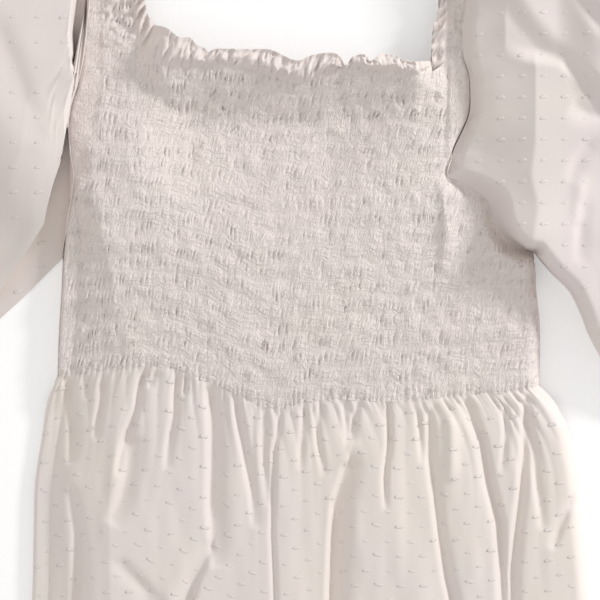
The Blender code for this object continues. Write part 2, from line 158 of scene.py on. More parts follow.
# Edges as x, y points
WAIST = [(-179.3, 19.8), (-157, 22), (-122, 26.5), (-100.7, 26.5), (-86.7, 23.5),
         (-66.2, 15.4), (-44.8, 5.1), (-16.9, -4.4), (0, 0), (41.9, 2.6), (63, 1.5),
         (98.5, 4), (126.4, 6.6), (155, 8.5), (177, 13)]
LEFT_LOW = [(-179.3, 19.8), (-178.3, 50), (-176, 90), (-175.3, 106), (-171.8, 132),
            (-166.1, 165.4)]
LEFT_HIGH = [(-166.1, 165.4), (-169.5, 190), (-169.8, 212), (-163.5, 234), (-159.5, 255)]
RIGHT_LOW = [(177, 13), (177, 61), (174.5, 85), (172.5, 111)]
SCOOP = [(108, 165.4), (129, 157), (139, 147), (144.8, 130), (153, 118.5), (163, 113),
         (172.5, 111)]
RIGHT_HIGH = [(108, 165.4), (113.2, 186.7), (119.1, 199.2), (124.2, 211.7),
              (125.3, 230.1), (124.2, 242.6), (120.2, 254)]
NECK_FRONT = [(-159.5, 255), (-140, 256.5), (-118, 256.5), (-106.6, 250), (-60, 247),
              (-32, 244), (-12.5, 237.8), (0, 234.8), (7, 236.5), (20, 243), (60, 243.5),
              (97, 243.5), (108, 251), (120.2, 254)]
NECK_BACK = [(-159.5, 255), (-140, 255), (-122, 252), (-111, 238), (-96, 231), (0, 229),
             (85, 231), (97, 238), (108, 251), (120.2, 254)]
FRILL_FRONT = [(-107.5, 278), (-98.5, 275.6), (-88, 268), (-80, 267.6), (-76.4, 263.2),
               (-69, 259.5), (-66.9, 257.2), (-64.7, 258.6), (-50, 259.5), (-36, 259.5),
               (-20.6, 258.7), (-12.5, 255), (-4.4, 251.4), (0.7, 251.2), (6.6, 254.3),
               (21.3, 256.6), (26.5, 256.1), (30.1, 252.8), (33.1, 247.1), (39.7, 254.3),
               (47.8, 255), (50.7, 250.6), (58.8, 255.4), (69.1, 255), (75.7, 251.4),
               (97, 251.4)]
FRILL_BACK = [(-111, 246), (-60, 245), (0, 244), (60, 245), (97, 246)]
SKIRT_LEFT = [(-179.3, 19.8), (-186, 2.2), (-191, -27), (-195.5, -57), (-197, -100),
              (-198, -145), (-208, -250), (-231, -400), (-258, -550), (-284, -676)]
SKIRT_RIGHT = [(177, 13), (186.7, 2.2), (194.8, -12.5), (202.9, -42), (208, -86),
               (212.4, -130), (224, -250), (246, -400), (270, -550), (292, -674)]
HEM = [(-284, -676), (-150, -684), (0, -686), (150, -684), (292, -674)]

# Shares of the main columns where the straps and the frills end
LEFT_STRAP_END = 4 / 26
BACK_FRILL_START = 5 / 26
FRILL_END = 22 / 26
RIGHT_STRAP_START = 23 / 26
# Which stretch of the neck edge each piece is sewn to: share of the main columns, x
NECK_STOPS_FRONT = [(0, -159.5), (LEFT_STRAP_END, -118), (FRILL_END, 97),
                    (RIGHT_STRAP_START, 108), (1, 120.2)]
NECK_STOPS_BACK = [(0, -159.5), (LEFT_STRAP_END, -122), (BACK_FRILL_START, -111),
                   (FRILL_END, 97), (RIGHT_STRAP_START, 108), (1, 120.2)]
# Topmost elastic row: x, y
NECK_ROW = [(-180, 252), (-107, 250), (-60, 247), (-20, 243), (20, 242), (60, 244), (180, 246)]

STRAPS = {
    "left": {"outer": [(-159.5, 255), (-157.3, 274), (-155.1, 296), (-150, 370)],
             "inner": [(-118, 256.5), (-121.5, 274), (-123.5, 296), (-123, 370)],
             "frill": [(-107.5, 278), (-112.5, 287), (-114.7, 297), (-112, 370)],
             "back_inner": (-122, 252), "back_frill": (-111, 238)},
    "right": {"outer": [(120.2, 254), (119.4, 275), (122.7, 296), (124, 370)],
              "inner": [(108, 251), (108.5, 270), (110.5, 296), (113, 370)],
              "frill": [(97, 243.5), (97.3, 266), (102.2, 296), (103, 370)],
              "back_inner": (108, 251), "back_frill": (97, 238)},
}

SLEEVES = {
    "left": {"upper": [(-150, 370), (-185, 394), (-240, 388), (-300, 340), (-345, 262),
                       (-366, 180), (-364, 120), (-352, 92)],
             "lower": [(-175.3, 106), (-191, 90.4), (-205.8, 75.7), (-220.5, 62.5),
                       (-240, 44), (-256, 26), (-272, 10)],
             "cuff_out": (-0.73, -0.68)},
    "right": {"upper": [(124, 370), (158, 394), (210, 386), (268, 342), (310, 270),
                        (334, 190), (340, 130), (330, 72)],
              "lower": [(172.5, 111), (186, 95), (199, 82), (207, 66), (213.2, 50),
                        (220.5, 36), (236, 14), (248, -2)],
              "cuff_out": (0.67, -0.74)},
}
CROWN = [(-690, 18), (-550, 19), (-400, 20), (-145, 21), (-40, 21), (8, 20.6), (60, 21.5),
         (170, 21), (215, 17), (256, 14)]
# How far in from its left edge the front falls away: y, distance
LEFT_FALL = [(-200, 60), (20, 54), (60, 50), (165, 14), (260, 14)]
# Height of the front cloth at its side edges, low at the side seam and up at the armhole: y, z
RIM_LEFT = [(106, SEAM_EDGE), (114, 8), (135, 13), (165, 16), (210, 15), (260, STRAP_HEIGHT)]
RIM_RIGHT = [(110, SEAM_EDGE), (118, 7), (130, 12), (150, 15), (166, 16), (260, STRAP_HEIGHT)]

# Folds of the skirt: depth, half width to the left and to the right, points down the fold
SKIRT_FOLDS = [
    (3.2, 2.2, 4.5, [(-170.5, 19.1), (-169.8, 2.9), (-166.8, -22.1), (-167.6, -45.6)]),
    (3.0, 3.0, 6.0, [(-166.1, -67.6), (-163.2, -83.8), (-163.2, -144.8)]),
    (1.4, 2.0, 3.0, [(-156.6, 17.6), (-155.1, 2.9)]),
    (2.2, 2.2, 4.0, [(-143.3, 16.9), (-144.1, 2.9), (-147.7, -13.2), (-149.2, -27.2)]),
    (3.4, 1.8, 3.6, [(-112.5, 24.3), (-116.9, 11.0), (-119.1, -3.7), (-125.0, -19.1),
                     (-129.4, -33.1), (-133.0, -53.7)]),
    (3.6, 4.5, 9.0, [(-120.5, -23.5), (-122.7, -51.4), (-129.4, -75.7), (-136.0, -88.9)]),
    (2.0, 1.8, 3.0, [(-105.1, 22.1), (-110.2, 11.0)]),
    (3.0, 2.0, 4.5, [(-88.2, 22.1), (-89.7, 8.1), (-90.4, -8.1), (-94.1, -27.2),
                     (-96.3, -49.2)]),
    (1.8, 1.8, 3.0, [(-81.6, 19.1), (-83.8, 5.1)]),
    (4.6, 3.5, 9.0, [(-61.7, 8.1), (-60.3, -19.1), (-60.3, -40.4), (-61.0, -72.8),
                     (-58.1, -121.3)]),
    (2.4, 6.0, 5.0, [(-129.4, -119.1), (-116.9, -130.8), (-105.8, -144.8)]),
    (4.0, 7.0, 3.0, [(-64.7, -108.0), (-71.3, -121.3), (-78.6, -137.4), (-80.8, -144.8)]),
    (2.8, 2.2, 4.5, [(-46.3, 5.1), (-43.4, -15.4), (-39.0, -36.8), (-33.8, -64.7),
                     (-31.5, -92.0)]),
    (1.8, 2.2, 3.5, [(-25.0, 1.5), (-25.7, -22.8), (-22.1, -76.4)]),
    (2.2, 1.6, 2.2, [(-12.5, -5.9), (-16.9, -22.8), (-18.4, -58.1), (-19.8, -78.6),
                     (-17.6, -144.8)]),
    (1.8, 2.2, 3.0, [(4.4, -2.9), (1.5, -49.2)]),
    (1.8, 2.2, 3.0, [(16.9, 0.0), (14.0, -21.3), (19.8, -53.7)]),
    (2.0, 2.0, 3.0, [(33.8, 0.0), (36.8, -30.9)]),
    (2.4, 1.8, 3.0, [(44.8, 0.0), (40.4, -14.0), (39.7, -28.7)]),
    (7.5, 2.2, 11.0, [(38.4, -47.8), (34.2, -58.1), (31.0, -72.0), (28.6, -100.0),
                      (27.1, -144.8)]),
    (2.8, 1.6, 2.6, [(65.4, 0.0), (66.2, -22.8), (63.2, -58.1), (63.9, -78.6)]),
    (1.8, 2.0, 3.0, [(88.2, -7.3), (91.1, -44.1)]),
    (3.8, 2.6, 4.6, [(97.0, -8.8), (97.0, -33.8), (102.9, -78.6), (108.0, -121.3),
                     (113.9, -144.8)]),
    (-2.2, 5.0, 5.0, [(112.5, -12.0), (113.5, -34.0), (112.5, -58.0)]),
    (4.2, 3.6, 3.2, [(123.5, 0.0), (132.3, -16.9), (137.4, -44.1), (141.9, -64.7),
                     (146.3, -78.6), (149.2, -107.3), (150.7, -144.8)]),
    (2.0, 2.0, 3.0, [(151.4, -2.9), (152.1, -22.8), (149.2, -50.7)]),
    (4.2, 2.4, 4.8, [(167.6, 0.0), (167.6, -14.0), (165.4, -50.7), (163.2, -78.6),
                     (158.8, -107.3), (158.0, -144.8)]),
    (2.4, 2.4, 4.0, [(167.6, -8.8), (172.7, -29.4), (175.7, -58.1), (180.1, -93.3)]),
    (2.2, 4.0, 3.0, [(202.1, -72.0), (192.6, -90.4), (186.7, -107.3)]),
]
FOLD_RUN_OUT = -140.0
FOLD_STRENGTH = 1.4
FOLD_LEFTWARD = 0.45
HEM_FLARE = 1.42
HALFWAY_FLARE = 1.14
HALFWAY_DOWN = -320
BELOW_HEM = -700
SKIRT_GATHERED = (-179, 177)
SKIRT_OPENED = (10, 60)
SKIRT_LOW = (140, 300)
SKIRT_LIFT_HEIGHT = 12.0
FLAT_BACK = {"bodice": (8.0, 0.5), "skirt": (10, 0.4)}
# Every fold: points along it, how far its sides reach, and how it fades in and out
FOLD_STEPS = 24
FOLD_SIDES = 3.0
FOLD_START = 0.1
FOLD_START_DEPTH = 0.3
FOLD_END = 0.35

# Soft shapes of the bodice: depth, half widths, points along the fold
BODICE_FOLDS = [
    (-2.6, 4.0, 9.0, [(104.5, 164.0), (106.5, 140.0), (106.0, 112.0), (104.5, 90.0)]),
    (-1.2, 4.0, 4.0, [(103.6, 238.0), (103.2, 214.0), (102.9, 190.0)]),
]
NECK_LIFT = 11.0
# Hollow below the neck: x, y of its bottom, and how deep it is there
HOLLOW = [(-118, 250), (-110, 240), (-95, 216), (-73, 208), (-29, 205), (22, 211), (51, 228),
          (75, 240)]
HOLLOW_DEPTH = [(-125, 0), (-105, 6), (-80, 13), (-29, 13.5), (22, 12), (51, 7), (85, 0)]
HOLLOW_TOP = 248
HOLLOW_TOP_LEAST = 6
HOLLOW_FADE = 110
NECK_LIFT_LEFT = (-124, -100)
NECK_LIFT_RIGHT = (85, 108)
NECK_LIFT_UP = (205, 246)

# Smooth bands beside the armholes: y, x of the edge where the shirring ends
LEFT_BAND = [(13, -185), (156, -166), (171, -160.5), (230, -147), (255, -147)]
LEFT_BAND_EDGE = (-1.5, 3.5)
RIGHT_BAND = [(150, 400), (170, 107.5), (244, 110.5)]
RIGHT_BAND_EDGE = (-2.0, 1.0)
RIGHT_BAND_START = (160, 168)
RIGHT_BAND_END = 124
RIGHT_BAND_LIFT = 2.2
RIGHT_ARM_X = 109
RIGHT_ARM_TOP = 172

# Folds of the sleeves' upper layer: depth, half widths, points
SLEEVE_FOLDS = {
    "left": [
        (3.0, 18.0, 9.0, [(-222.0, 275.0), (-218.3, 266.8), (-205.8, 237.4), (-198.4, 215.4),
                          (-187.4, 193.3)]),
        (1.5, 3.5, 5.0, [(-158.5, 300.0), (-158.5, 270.0), (-162.0, 244.0)]),
    ],
    "right": [
        (3.0, 4.0, 7.0, [(203.0, 298.0), (212.0, 284.0), (222.0, 268.0)]),
        (3.5, 6.0, 8.0, [(236.0, 214.0), (205.0, 215.0), (198.0, 219.0)]),
        (1.8, 4.0, 6.0, [(212.0, 190.0), (205.0, 181.0), (196.0, 163.0)]),
        (2.2, 4.0, 6.0, [(206.5, 146.0), (205.0, 128.0), (203.5, 102.0)]),
        (-1.6, 5.0, 5.0, [(204.0, 163.0), (203.0, 130.0)]),
        (3.0, 3.0, 3.0, [(152.0, 118.5), (158.0, 115.5), (164.0, 112.0)]),
    ],
}
# Left puff's lower edge, where it stands over the flat underarm cloth
PUFF_LIP = [(-169.0, 212.0), (-171.5, 196.2), (-173.5, 183.0), (-178.2, 168.3),
            (-182.3, 155.8), (-187.4, 130.8), (-202.1, 108.8), (-220.5, 83.1),
            (-246.0, 52.0), (-268.0, 22.0)]
UNDER_CLOTH = 2.0
# Right puff: low beside the armhole, then up to a flat patch, and higher past a slanting ridge
RIGHT_SHELF = 18.5
RIGHT_PATCH = 44.0
RIGHT_PATCH_START = 112
RIGHT_PATCH_WIDTH = 59
CORNER_LIFT = 6.0
CORNER_LIFT_TOP = (118, 168)
CORNER_LIFT_START = (112, 140)
RIGHT_GROUND = 35.0
GROUND_RISE = 9.0
GROUND_RISE_STRETCH = (205, 225)
PATCH_TOP_FALL = (-2, 11)
RIGHT_CREST = 41.0
CREST_RISE = 12.0
CREST_RISE_STRETCH = (186, 222)
RIDGE_SLOPE = (-17, 1)
RIGHT_RIDGE = [(146, 330), (158, 304), (172.7, 283.7), (189.6, 265.3), (206.5, 249),
               (220.5, 237), (262, 214), (345, 180)]
PATCH_TOP = [(100, 266), (150, 254), (166.8, 249.2), (189.6, 247), (200.7, 237.4),
             (206.5, 227), (220, 205), (262, 175), (345, 140)]
# Left puff: its height at distances in from the cuff, as a share of the full height
LEFT_FULLNESS = [(-20, 0.22), (0, 0.22), (60, 0.26), (90, 0.32), (178, 0.96), (215, 1.0),
                 (400, 1.0)]
# How far from the cuff a puff starts to narrow, and the share of its height left there
CUFF_REACH = 155.0
CUFF_SHARE = 0.25
CUFF_ROUNDING = 1.6
PUFF_TOP_ROUND = 34
# Right puff: how far it takes to rise from its seam, more beside the bodice's corner
RIGHT_RISE = 10
CORNER_RISE_MORE = 6
CORNER_RISE_STRETCH = (150, 175)
OUTER_RISE = 7
OUTER_RISE_STRETCH = (150, 170)
# Share of its height that a puff has right at its lower edge, and how far the rest takes
LIP_SHARE = 0.6
LIP_ROUND = 10
LEFT_LIP_SHARE = 0.9
LEFT_LIP_ROUND = 30
# Flat cloth under the left puff's lip, and how far it runs on below the lip
UNDER_CLOTH = 2.0
UNDER_CLOTH_RISE = 0.02
LIP_TUCK = 9.0
LIP_TUCK_END = (0.45, 0.85)
LIP_CLOSE = (0.6, 1.0)
# Groove between the left strap and the puff, whose edge hangs over it
GROOVE_FLOOR = 5.0
GROOVE_LENGTH = (234, 254)
GROOVE_NARROW = 0.3
GROOVE_WIDER = 9.5
GROOVE_WIDENING = (232, 275)
GROOVE_HANG = 3.0
GROOVE_HANG_LENGTH = (238, 262)
GROOVE_HANG_SPREAD = (2.0, 9)
GROOVE_WALL = 1.0
GROOVE_WALL_MORE = 2.5
GROOVE_WALL_STRETCH = (232, 252)
LEFT_SEAM_FULLNESS = 0.82
LEFT_SEAM_REACH = 60


# Numbers along edges and over the cloth


def smooth_value(knots, values, at):
    """Smooth cubic through the values given at the knots."""
    knots = np.asarray(knots, float)
    values = np.asarray(values, float)
    slopes = np.gradient(values, knots, axis=0)
    i = np.clip(np.searchsorted(knots, at, side="right") - 1, 0, len(knots) - 2)
    width = knots[i + 1] - knots[i]
    f = np.clip((at - knots[i]) / width, 0, 1)
    if values.ndim > 1:
        f = f[..., None]
        width = width[..., None]
    return ((1 + 2 * f) * (1 - f) ** 2 * values[i] + f * (1 - f) ** 2 * width * slopes[i]
            + f ** 2 * (3 - 2 * f) * values[i + 1] + f ** 2 * (f - 1) * width * slopes[i + 1])


def table_value(rows, at):
    """Second column of a table, read at values of its first."""
    rows = np.asarray(rows, float)
    return smooth_value(rows[:, 0], rows[:, 1], at)

def line_value(rows, at):
    """Second column of a table, with straight lines between its rows."""
    return np.interp(at, *np.array(rows, float).T)


def edge_points(points, fractions):
    """Points at fractions of the length of the smooth edge through some points."""
    points = np.asarray(points, float)
    steps = np.linalg.norm(np.diff(points, axis=0), axis=1)
    knots = np.concatenate([[0.0], np.cumsum(steps)]) / steps.sum()
    return smooth_value(knots, points, np.asarray(fractions, float))


def blend_patch(bottom, top, left, right, across, up):
    """Plan of a patch whose four edges are given at the fractions across and up."""
    u = across[None, :, None]
    v = up[:, None, None]
    corners = ((1 - u) * (1 - v) * bottom[0] + u * (1 - v) * bottom[-1]
               + (1 - u) * v * top[0] + u * v * top[-1])
    return ((1 - v) * bottom[None] + v * top[None] + (1 - u) * left[:, None]
            + u * right[:, None] - corners)


def soft_step(low, high, at):
    """From 0 below low to 1 above high, with no corners."""
    f = np.clip((at - low) / (high - low), 0, 1)
    return f * f * (3 - 2 * f)


def stretch(rise, fall, at):
    """1 along a stretch with soft ends, given as where it rises and where it falls."""
    return soft_step(*rise, at) * (1 - soft_step(*fall, at))


def rounded(distance, reach):
    """Quarter-round profile from 0 at an edge to 1 at reach inside it."""
    inside = np.clip(distance / reach, 0, 1)
    return np.sqrt(1 - (1 - inside) ** 2)


def cell_noise(x, y, seed):
    """Smooth irregular field from -1 to 1, with cells one unit wide."""
    cells = 256
    table = np.random.default_rng(seed).uniform(-1, 1, (cells, cells))
    x, y = np.broadcast_arrays(x, y)
    i = np.floor(x).astype(int)
    j = np.floor(y).astype(int)
    f = x - i
    g = y - j
    f = f * f * (3 - 2 * f)
    g = g * g * (3 - 2 * g)
    i0, i1, j0, j1 = i % cells, (i + 1) % cells, j % cells, (j + 1) % cells
    return ((1 - f) * (1 - g) * table[i0, j0] + f * (1 - g) * table[i1, j0]
            + (1 - f) * g * table[i0, j1] + f * g * table[i1, j1])

def uneven(x, y, waves):
    """Sum of irregular waves, as the tables of waves give them."""
    return sum(height * cell_noise(x / across, y / up, seed)
               for height, across, up, seed in waves)


def crumple(x, y, seed):
    """Sharp-edged dents and ridges of crushed cloth, from about -1 to 1."""
    broad = cell_noise(x / BROAD_DENT[0], y / BROAD_DENT[1], seed)
    fine = cell_noise((x + DENT_SLANT[0] * y) / FINE_DENT[0],
                      (y - DENT_SLANT[1] * x) / FINE_DENT[1], seed + 1)
    return (BROAD_DENT_SHARE * (1 - DENT_SHARPNESS * np.abs(broad))
            + (1 - BROAD_DENT_SHARE) * (1 - DENT_SHARPNESS * np.abs(fine)))


def path_offset(flat, path):
    """Distance from points to a path, the side they lie on and the share passed there."""
    best = np.full(len(flat), 1e18)
    side = np.zeros(len(flat))
    share = np.zeros(len(flat))
    for k, (start, end) in enumerate(zip(path[:-1], path[1:])):
        run = end - start
        from_start = flat - start
        f = np.clip((from_start @ run) / (run @ run), 0, 1)
        away = ((from_start - f[:, None] * run) ** 2).sum(1)
        closer = away < best
        best = np.where(closer, away, best)
        side = np.where(closer, run[0] * from_start[:, 1] - run[1] * from_start[:, 0], side)
        share = np.where(closer, (k + f) / (len(path) - 1), share)
    return np.sqrt(best), side, share


def path_distance(plan, path):
    """Distance from points of the plan to a path."""
    return path_offset(plan.reshape(-1, 2), np.asarray(path, float))[0].reshape(plan.shape[:-1])


def past_path(plan, path):
    """The same distance, above 0 to the left of the path and below 0 to its right."""
    away, side, _ = path_offset(plan.reshape(-1, 2), np.array(path, float))
    return (away * np.sign(side)).reshape(plan.shape[:-1])


def edge_distance(plan, edge):
    """Distance from points of the plan to the smooth edge through some points."""
    return path_distance(plan, edge_points(edge, np.linspace(0, 1, EDGE_STEPS)))


def fold_relief(plan, folds):
    """Height of a list of folds over points of the plan."""
    total = np.zeros(plan.shape[:-1])
    flat = plan.reshape(-1, 2)
    for depth, left, right, points in folds:
        path = edge_points(points, np.linspace(0, 1, FOLD_STEPS))
        reach = FOLD_SIDES * max(left, right)
        near = np.nonzero(((flat > path.min(0) - reach)
                           & (flat < path.max(0) + reach)).all(1))[0]
        if not len(near):
            continue
        distance, side, share = path_offset(flat[near], path)
        width = np.where(side > 0, right, left)
        fade = np.minimum(share / FOLD_START + FOLD_START_DEPTH, (1 - share) / FOLD_END)
        taper = np.sqrt(np.clip(fade, 0, 1))
        total.reshape(-1)[near] -= depth * taper * np.exp(-(distance / width) ** 2)
    return total


# Plans of the panels


def spread_columns(count):
    """Fractions from a side seam inwards, a little closer together at the seam."""
    steps = np.arange(count + 1) / count
    return EVEN_COLUMNS * steps + (1 - EVEN_COLUMNS) * (1 - np.cos(steps * math.pi / 2))


def body_columns(main, scoop):
    """Fractions across the body, the last few under the right armhole."""
    rest = 1 - spread_columns(scoop)[::-1]
    return np.concatenate([spread_columns(main) * SCOOP_START,
                           SCOOP_START + rest[1:] * (1 - SCOOP_START)])


def waist_points(drop, columns):
    """Points of the waist seam under each column, lower in the middle by drop."""
    x = WAIST[0][0] + columns * (WAIST[-1][0] - WAIST[0][0])
    sag = drop * (1 - np.clip((x / WAIST[-1][0]) ** 2, 0, 1))
    tuck = uneven(x, MIDLINE, WAIST_TUCKS)
    return np.stack([x, table_value(WAIST, x) - sag + tuck], axis=-1)


def neck_points(edge, stops, shares):
    """Points of a neck edge above each main column."""
    x = line_value(stops, shares)
    return np.stack([x, table_value(edge, x) + uneven(x, MIDLINE, NECK_TUCKS)], axis=-1)


def bodice_plan(drop, neck, stops, main, scoop, low_rows, high_rows):
    """Rows of plan points of a bodice panel, waist to neck."""
    columns = body_columns(main, scoop)
    low_up = np.linspace(0, 1, low_rows + 1)
    high_up = np.linspace(0, 1, high_rows + 1)
    shares = columns[:main + 1] / SCOOP_START
    level = np.concatenate([
        edge_points([LEFT_HIGH[0], SCOOP[0]], shares),
        edge_points(SCOOP, (columns[main + 1:] - SCOOP_START) / (1 - SCOOP_START))])
    low = blend_patch(waist_points(drop, columns), level, edge_points(LEFT_LOW, low_up),
                      edge_points(RIGHT_LOW, low_up), columns, low_up)
    high = blend_patch(level[:main + 1], neck_points(neck, stops, shares),
                       edge_points(LEFT_HIGH, high_up), edge_points(RIGHT_HIGH, high_up),
                       shares, high_up)
    unused = np.repeat(high[1:, -1:], scoop, axis=1)
    return np.concatenate([low, np.concatenate([high[1:], unused], axis=1)])


def skirt_plan(drop, levels, columns):
    """Rows of plan points of a skirt panel, hem to waist."""
    up = 1 - np.asarray(levels)[::-1]
    return blend_patch(edge_points(HEM, columns), waist_points(drop, columns),
                       edge_points(SKIRT_LEFT[::-1], up),
                       edge_points(SKIRT_RIGHT[::-1], up), columns, up)


def rounded_height(plan, left_edge, right_edge):
    """Height of the front cloth: a low crown that falls away to both side edges."""
    x, y = plan[..., 0], plan[..., 1]
    height = table_value(CROWN, y)
    from_left = edge_distance(plan, left_edge)
    shelved = 1 - soft_step(*LEFT_SHELF_FADE, y)
    start = LEFT_SHELF_WIDTH * shelved
    inside = np.clip((from_left - start) / (line_value(LEFT_FALL, y) - start), 0, 1)
    roll = (1 - ROLL_ROUND) * inside + ROLL_ROUND * np.sqrt(1 - (1 - inside) ** 2)
    rim = line_value(RIM_LEFT, y)
    shelf_level = SKIRT_SHELF + (LEFT_SHELF - SKIRT_SHELF) * soft_step(*SKIRT_SHELF_RISE, y)
    shelf = rim + (shelf_level - rim) * shelved
    turned = rounded(from_left, LEFT_SHELF_TURN) * shelved + (1 - shelved)
    low = rim + (shelf - rim) * turned
    height = np.where(x < 0, low + (height - shelf) * roll, height)
    inside = np.clip(edge_distance(plan, right_edge) / ROUND_RIGHT, 0, 1)
    under_arm = stretch(RIGHT_ARM_START, RIGHT_ARM_END, y)
    roll = (np.sqrt(1 - (1 - inside) ** 2) * (1 - under_arm)
            + soft_step(0, 1, inside) * under_arm)
    rim = line_value(RIM_RIGHT, y)
    return np.where(x > 0, rim + (height - rim) * roll, height)


# Relief


def shirred_rows(x, y):
    """Which elastic row a point lies on, counted up from the waist seam."""
    waist = table_value(WAIST, np.clip(x, WAIST[0][0], WAIST[-1][0]))
    rows = ROW_COUNT * (y - waist) / (line_value(NECK_ROW, x) - waist)
    return rows + uneven(x, rows, ROW_SWAYS)


def row_change(x, rows, change, seed):
    """How something varies across the puckers and from one elastic row to the next."""
    amount, across, steps, offset, seed_step = change
    return amount * cell_noise(x / across, rows * steps + offset, seed + seed_step)


def shirring(x, rows, seed):
    """Relief of shirred cloth: between elastic rows it stands up in small slanting puckers."""
    band = np.floor(rows)
    f = rows - band
    lean = (f - 0.5) * (PUCKER_LEAN + row_change(x, band, LEAN_CHANGE, seed))
    phase = ((x - lean) / PUCKER_PITCH + row_change(x, band, SWAY_CHANGE, seed)
             + band * ROW_SHIFT)
    slit = 1 - np.abs(np.sin(math.pi * phase)) ** SLIT_SHARPNESS
    pucker = np.floor(phase + 0.5) * PUCKER_STRIDE + 0.5
    strength = np.clip(PUCKER_STRENGTH + row_change(pucker, band, STRENGTH_CHANGE, seed)
                       + row_change(x, rows, PATCH_CHANGE, seed), *STRENGTH_LIMITS)
    middle = 0.5 + row_change(pucker, band, MIDDLE_CHANGE, seed)
    reach = np.exp(-((f - middle) / PUCKER_REACH) ** 2)
    puff = np.sqrt(np.maximum(4 * f * (1 - f), 0))
    mound = row_change(x, band, MOUND_CHANGE, seed)
    return ROW_PUFF * puff * (1 + mound) - PUCKER_DEPTH * strength * slit * reach


def neck_hollow(x, y):
    """Depth of the hollow below the neck, up to the neck edge and fading out below."""
    bottom = line_value(HOLLOW, x)
    off = y - bottom
    above = 1 - np.clip(off / np.maximum(HOLLOW_TOP - bottom, HOLLOW_TOP_LEAST), 0, 1)
    below = 1 - soft_step(0, HOLLOW_FADE, -off)
    return line_value(HOLLOW_DEPTH, x) * np.where(off > 0, above, below)


def bodice_relief(plan, front):
    """Everything that stands out of the bodice panel's smooth form."""
    x, y = plan[..., 0], plan[..., 1]
    smooth_left = 1 - soft_step(*LEFT_BAND_EDGE, x - line_value(LEFT_BAND, y))
    smooth_right = (soft_step(*RIGHT_BAND_EDGE, x - line_value(RIGHT_BAND, y))
                    * soft_step(*RIGHT_BAND_START, y))
    smooth = np.clip(smooth_left + smooth_right, 0, 1)
    seed = FRONT_PUCKERS if front else BACK_PUCKERS
    relief = shirring(x, shirred_rows(x, y), seed) * (1 - smooth)
    relief *= 1 + NECK_PUCKER_GAIN * soft_step(*NECK_PUCKERS, y)
    relief += uneven(x, y, BODICE_WAVES)
    if front:
        relief += RIGHT_BAND_LIFT * smooth_right * soft_step(0, 3, RIGHT_BAND_END - x)
        relief -= neck_hollow(x, y)
        relief += (NECK_LIFT * stretch(NECK_LIFT_LEFT, NECK_LIFT_RIGHT, x)
                   * soft_step(*NECK_LIFT_UP, y))
        relief += fold_relief(plan, BODICE_FOLDS)
    return relief


def gather_ridges(across, below, gathers, seed):
    """Ridges of one size of gather, before they fade out."""
    pitch, sway, length_across, length_down = gathers[:4]
    shift = sway * cell_noise(across / length_across, below / length_down, seed)
    return np.abs(np.sin(math.pi * (across / pitch + shift))) ** GATHER_ROUNDNESS - GATHER_MIDDLE


def gathers(across, below, seed):
    """Relief of the gathers below a seam, which fade as the cloth opens out."""
    amount, length = REACH_CHANGE
    reach = 1 + amount * cell_noise(across / length, MIDLINE, seed + 2)
    *_, fine_height, fine_reach = FINE_GATHERS
    *_, broad_height, broad_reach = BROAD_GATHERS
    return (fine_height * np.exp(-below / (fine_reach * reach))
            * gather_ridges(across, below, FINE_GATHERS, seed)
            + broad_height * soft_step(0, BROAD_START, below)
            * np.exp(-below / (broad_reach * reach))
            * gather_ridges(across, below, BROAD_GATHERS, seed + 1))


def open_folds():
    """The skirt's folds; those at the lower edge of the picture run on down to the hem."""
    folds = []
    for depth, left, right, points in SKIRT_FOLDS:
        points = [(x - FOLD_LEFTWARD * right, y) for x, y in points]
        x, y = points[-1]
        if y < FOLD_RUN_OUT:
            points += [(x * HALFWAY_FLARE, HALFWAY_DOWN), (x * HEM_FLARE, BELOW_HEM)]
        folds.append((FOLD_STRENGTH * depth, left, right, points))
    return folds


def skirt_relief(plan, across, front):
    """Folds, gathers and slight unevenness of a skirt panel."""
    x, y = plan[..., 0], plan[..., 1]
    below = np.maximum(table_value(WAIST, np.clip(across, *SKIRT_GATHERED)) - y, 0)
    relief = gathers(across, below, FRONT_GATHERS if front else BACK_GATHERS)
    relief += soft_step(*SKIRT_OPENED, below) * (uneven(across, y, SKIRT_BROAD_WAVES)
                                                 + uneven(x, y, SKIRT_FINE_WAVES))
    relief += soft_step(*SKIRT_LOW, below) * uneven(across, y, HEM_WAVES)
    if front:
        relief += fold_relief(plan, open_folds())
    return relief


# Sheets

def sheet_normals(points, closed=False):
    """Unit normals of a grid of points."""
    if closed:
        wrapped = np.concatenate([points[:, -2:-1], points, points[:, 1:2]], axis=1)
        along = np.gradient(wrapped, axis=1)[:, 1:-1]
    else:
        along = np.gradient(points, axis=1)
    normals = np.cross(along, np.gradient(points, axis=0))
    return normals / np.maximum(np.linalg.norm(normals, axis=-1, keepdims=True), 1e-9)


def with_height(plan, height):
    """Plan points and their heights as rows of points."""
    return np.concatenate([plan, np.broadcast_to(height, plan.shape[:2])[..., None]], axis=-1)


def mark_sharp_edges(mesh, crisp):
    """Mark the sheet's free edges as sharp and, on a crisp piece, its steep creases too."""
    edge_of = np.zeros(len(mesh.loops), dtype=int)
    mesh.loops.foreach_get("edge_index", edge_of)
    sharp = np.bincount(edge_of, minlength=len(mesh.edges)) == 1
    if crisp:
        mesh.set_sharp_from_angle(angle=CRISP_ANGLE)
        by_angle = np.zeros(len(mesh.edges), dtype=bool)
        if "sharp_edge" in mesh.attributes:
            mesh.attributes["sharp_edge"].data.foreach_get("value", by_angle)
        sharp |= by_angle
    if "sharp_edge" not in mesh.attributes:
        mesh.attributes.new("sharp_edge", "BOOLEAN", "EDGE")
    mesh.attributes["sharp_edge"].data.foreach_set("value", sharp)


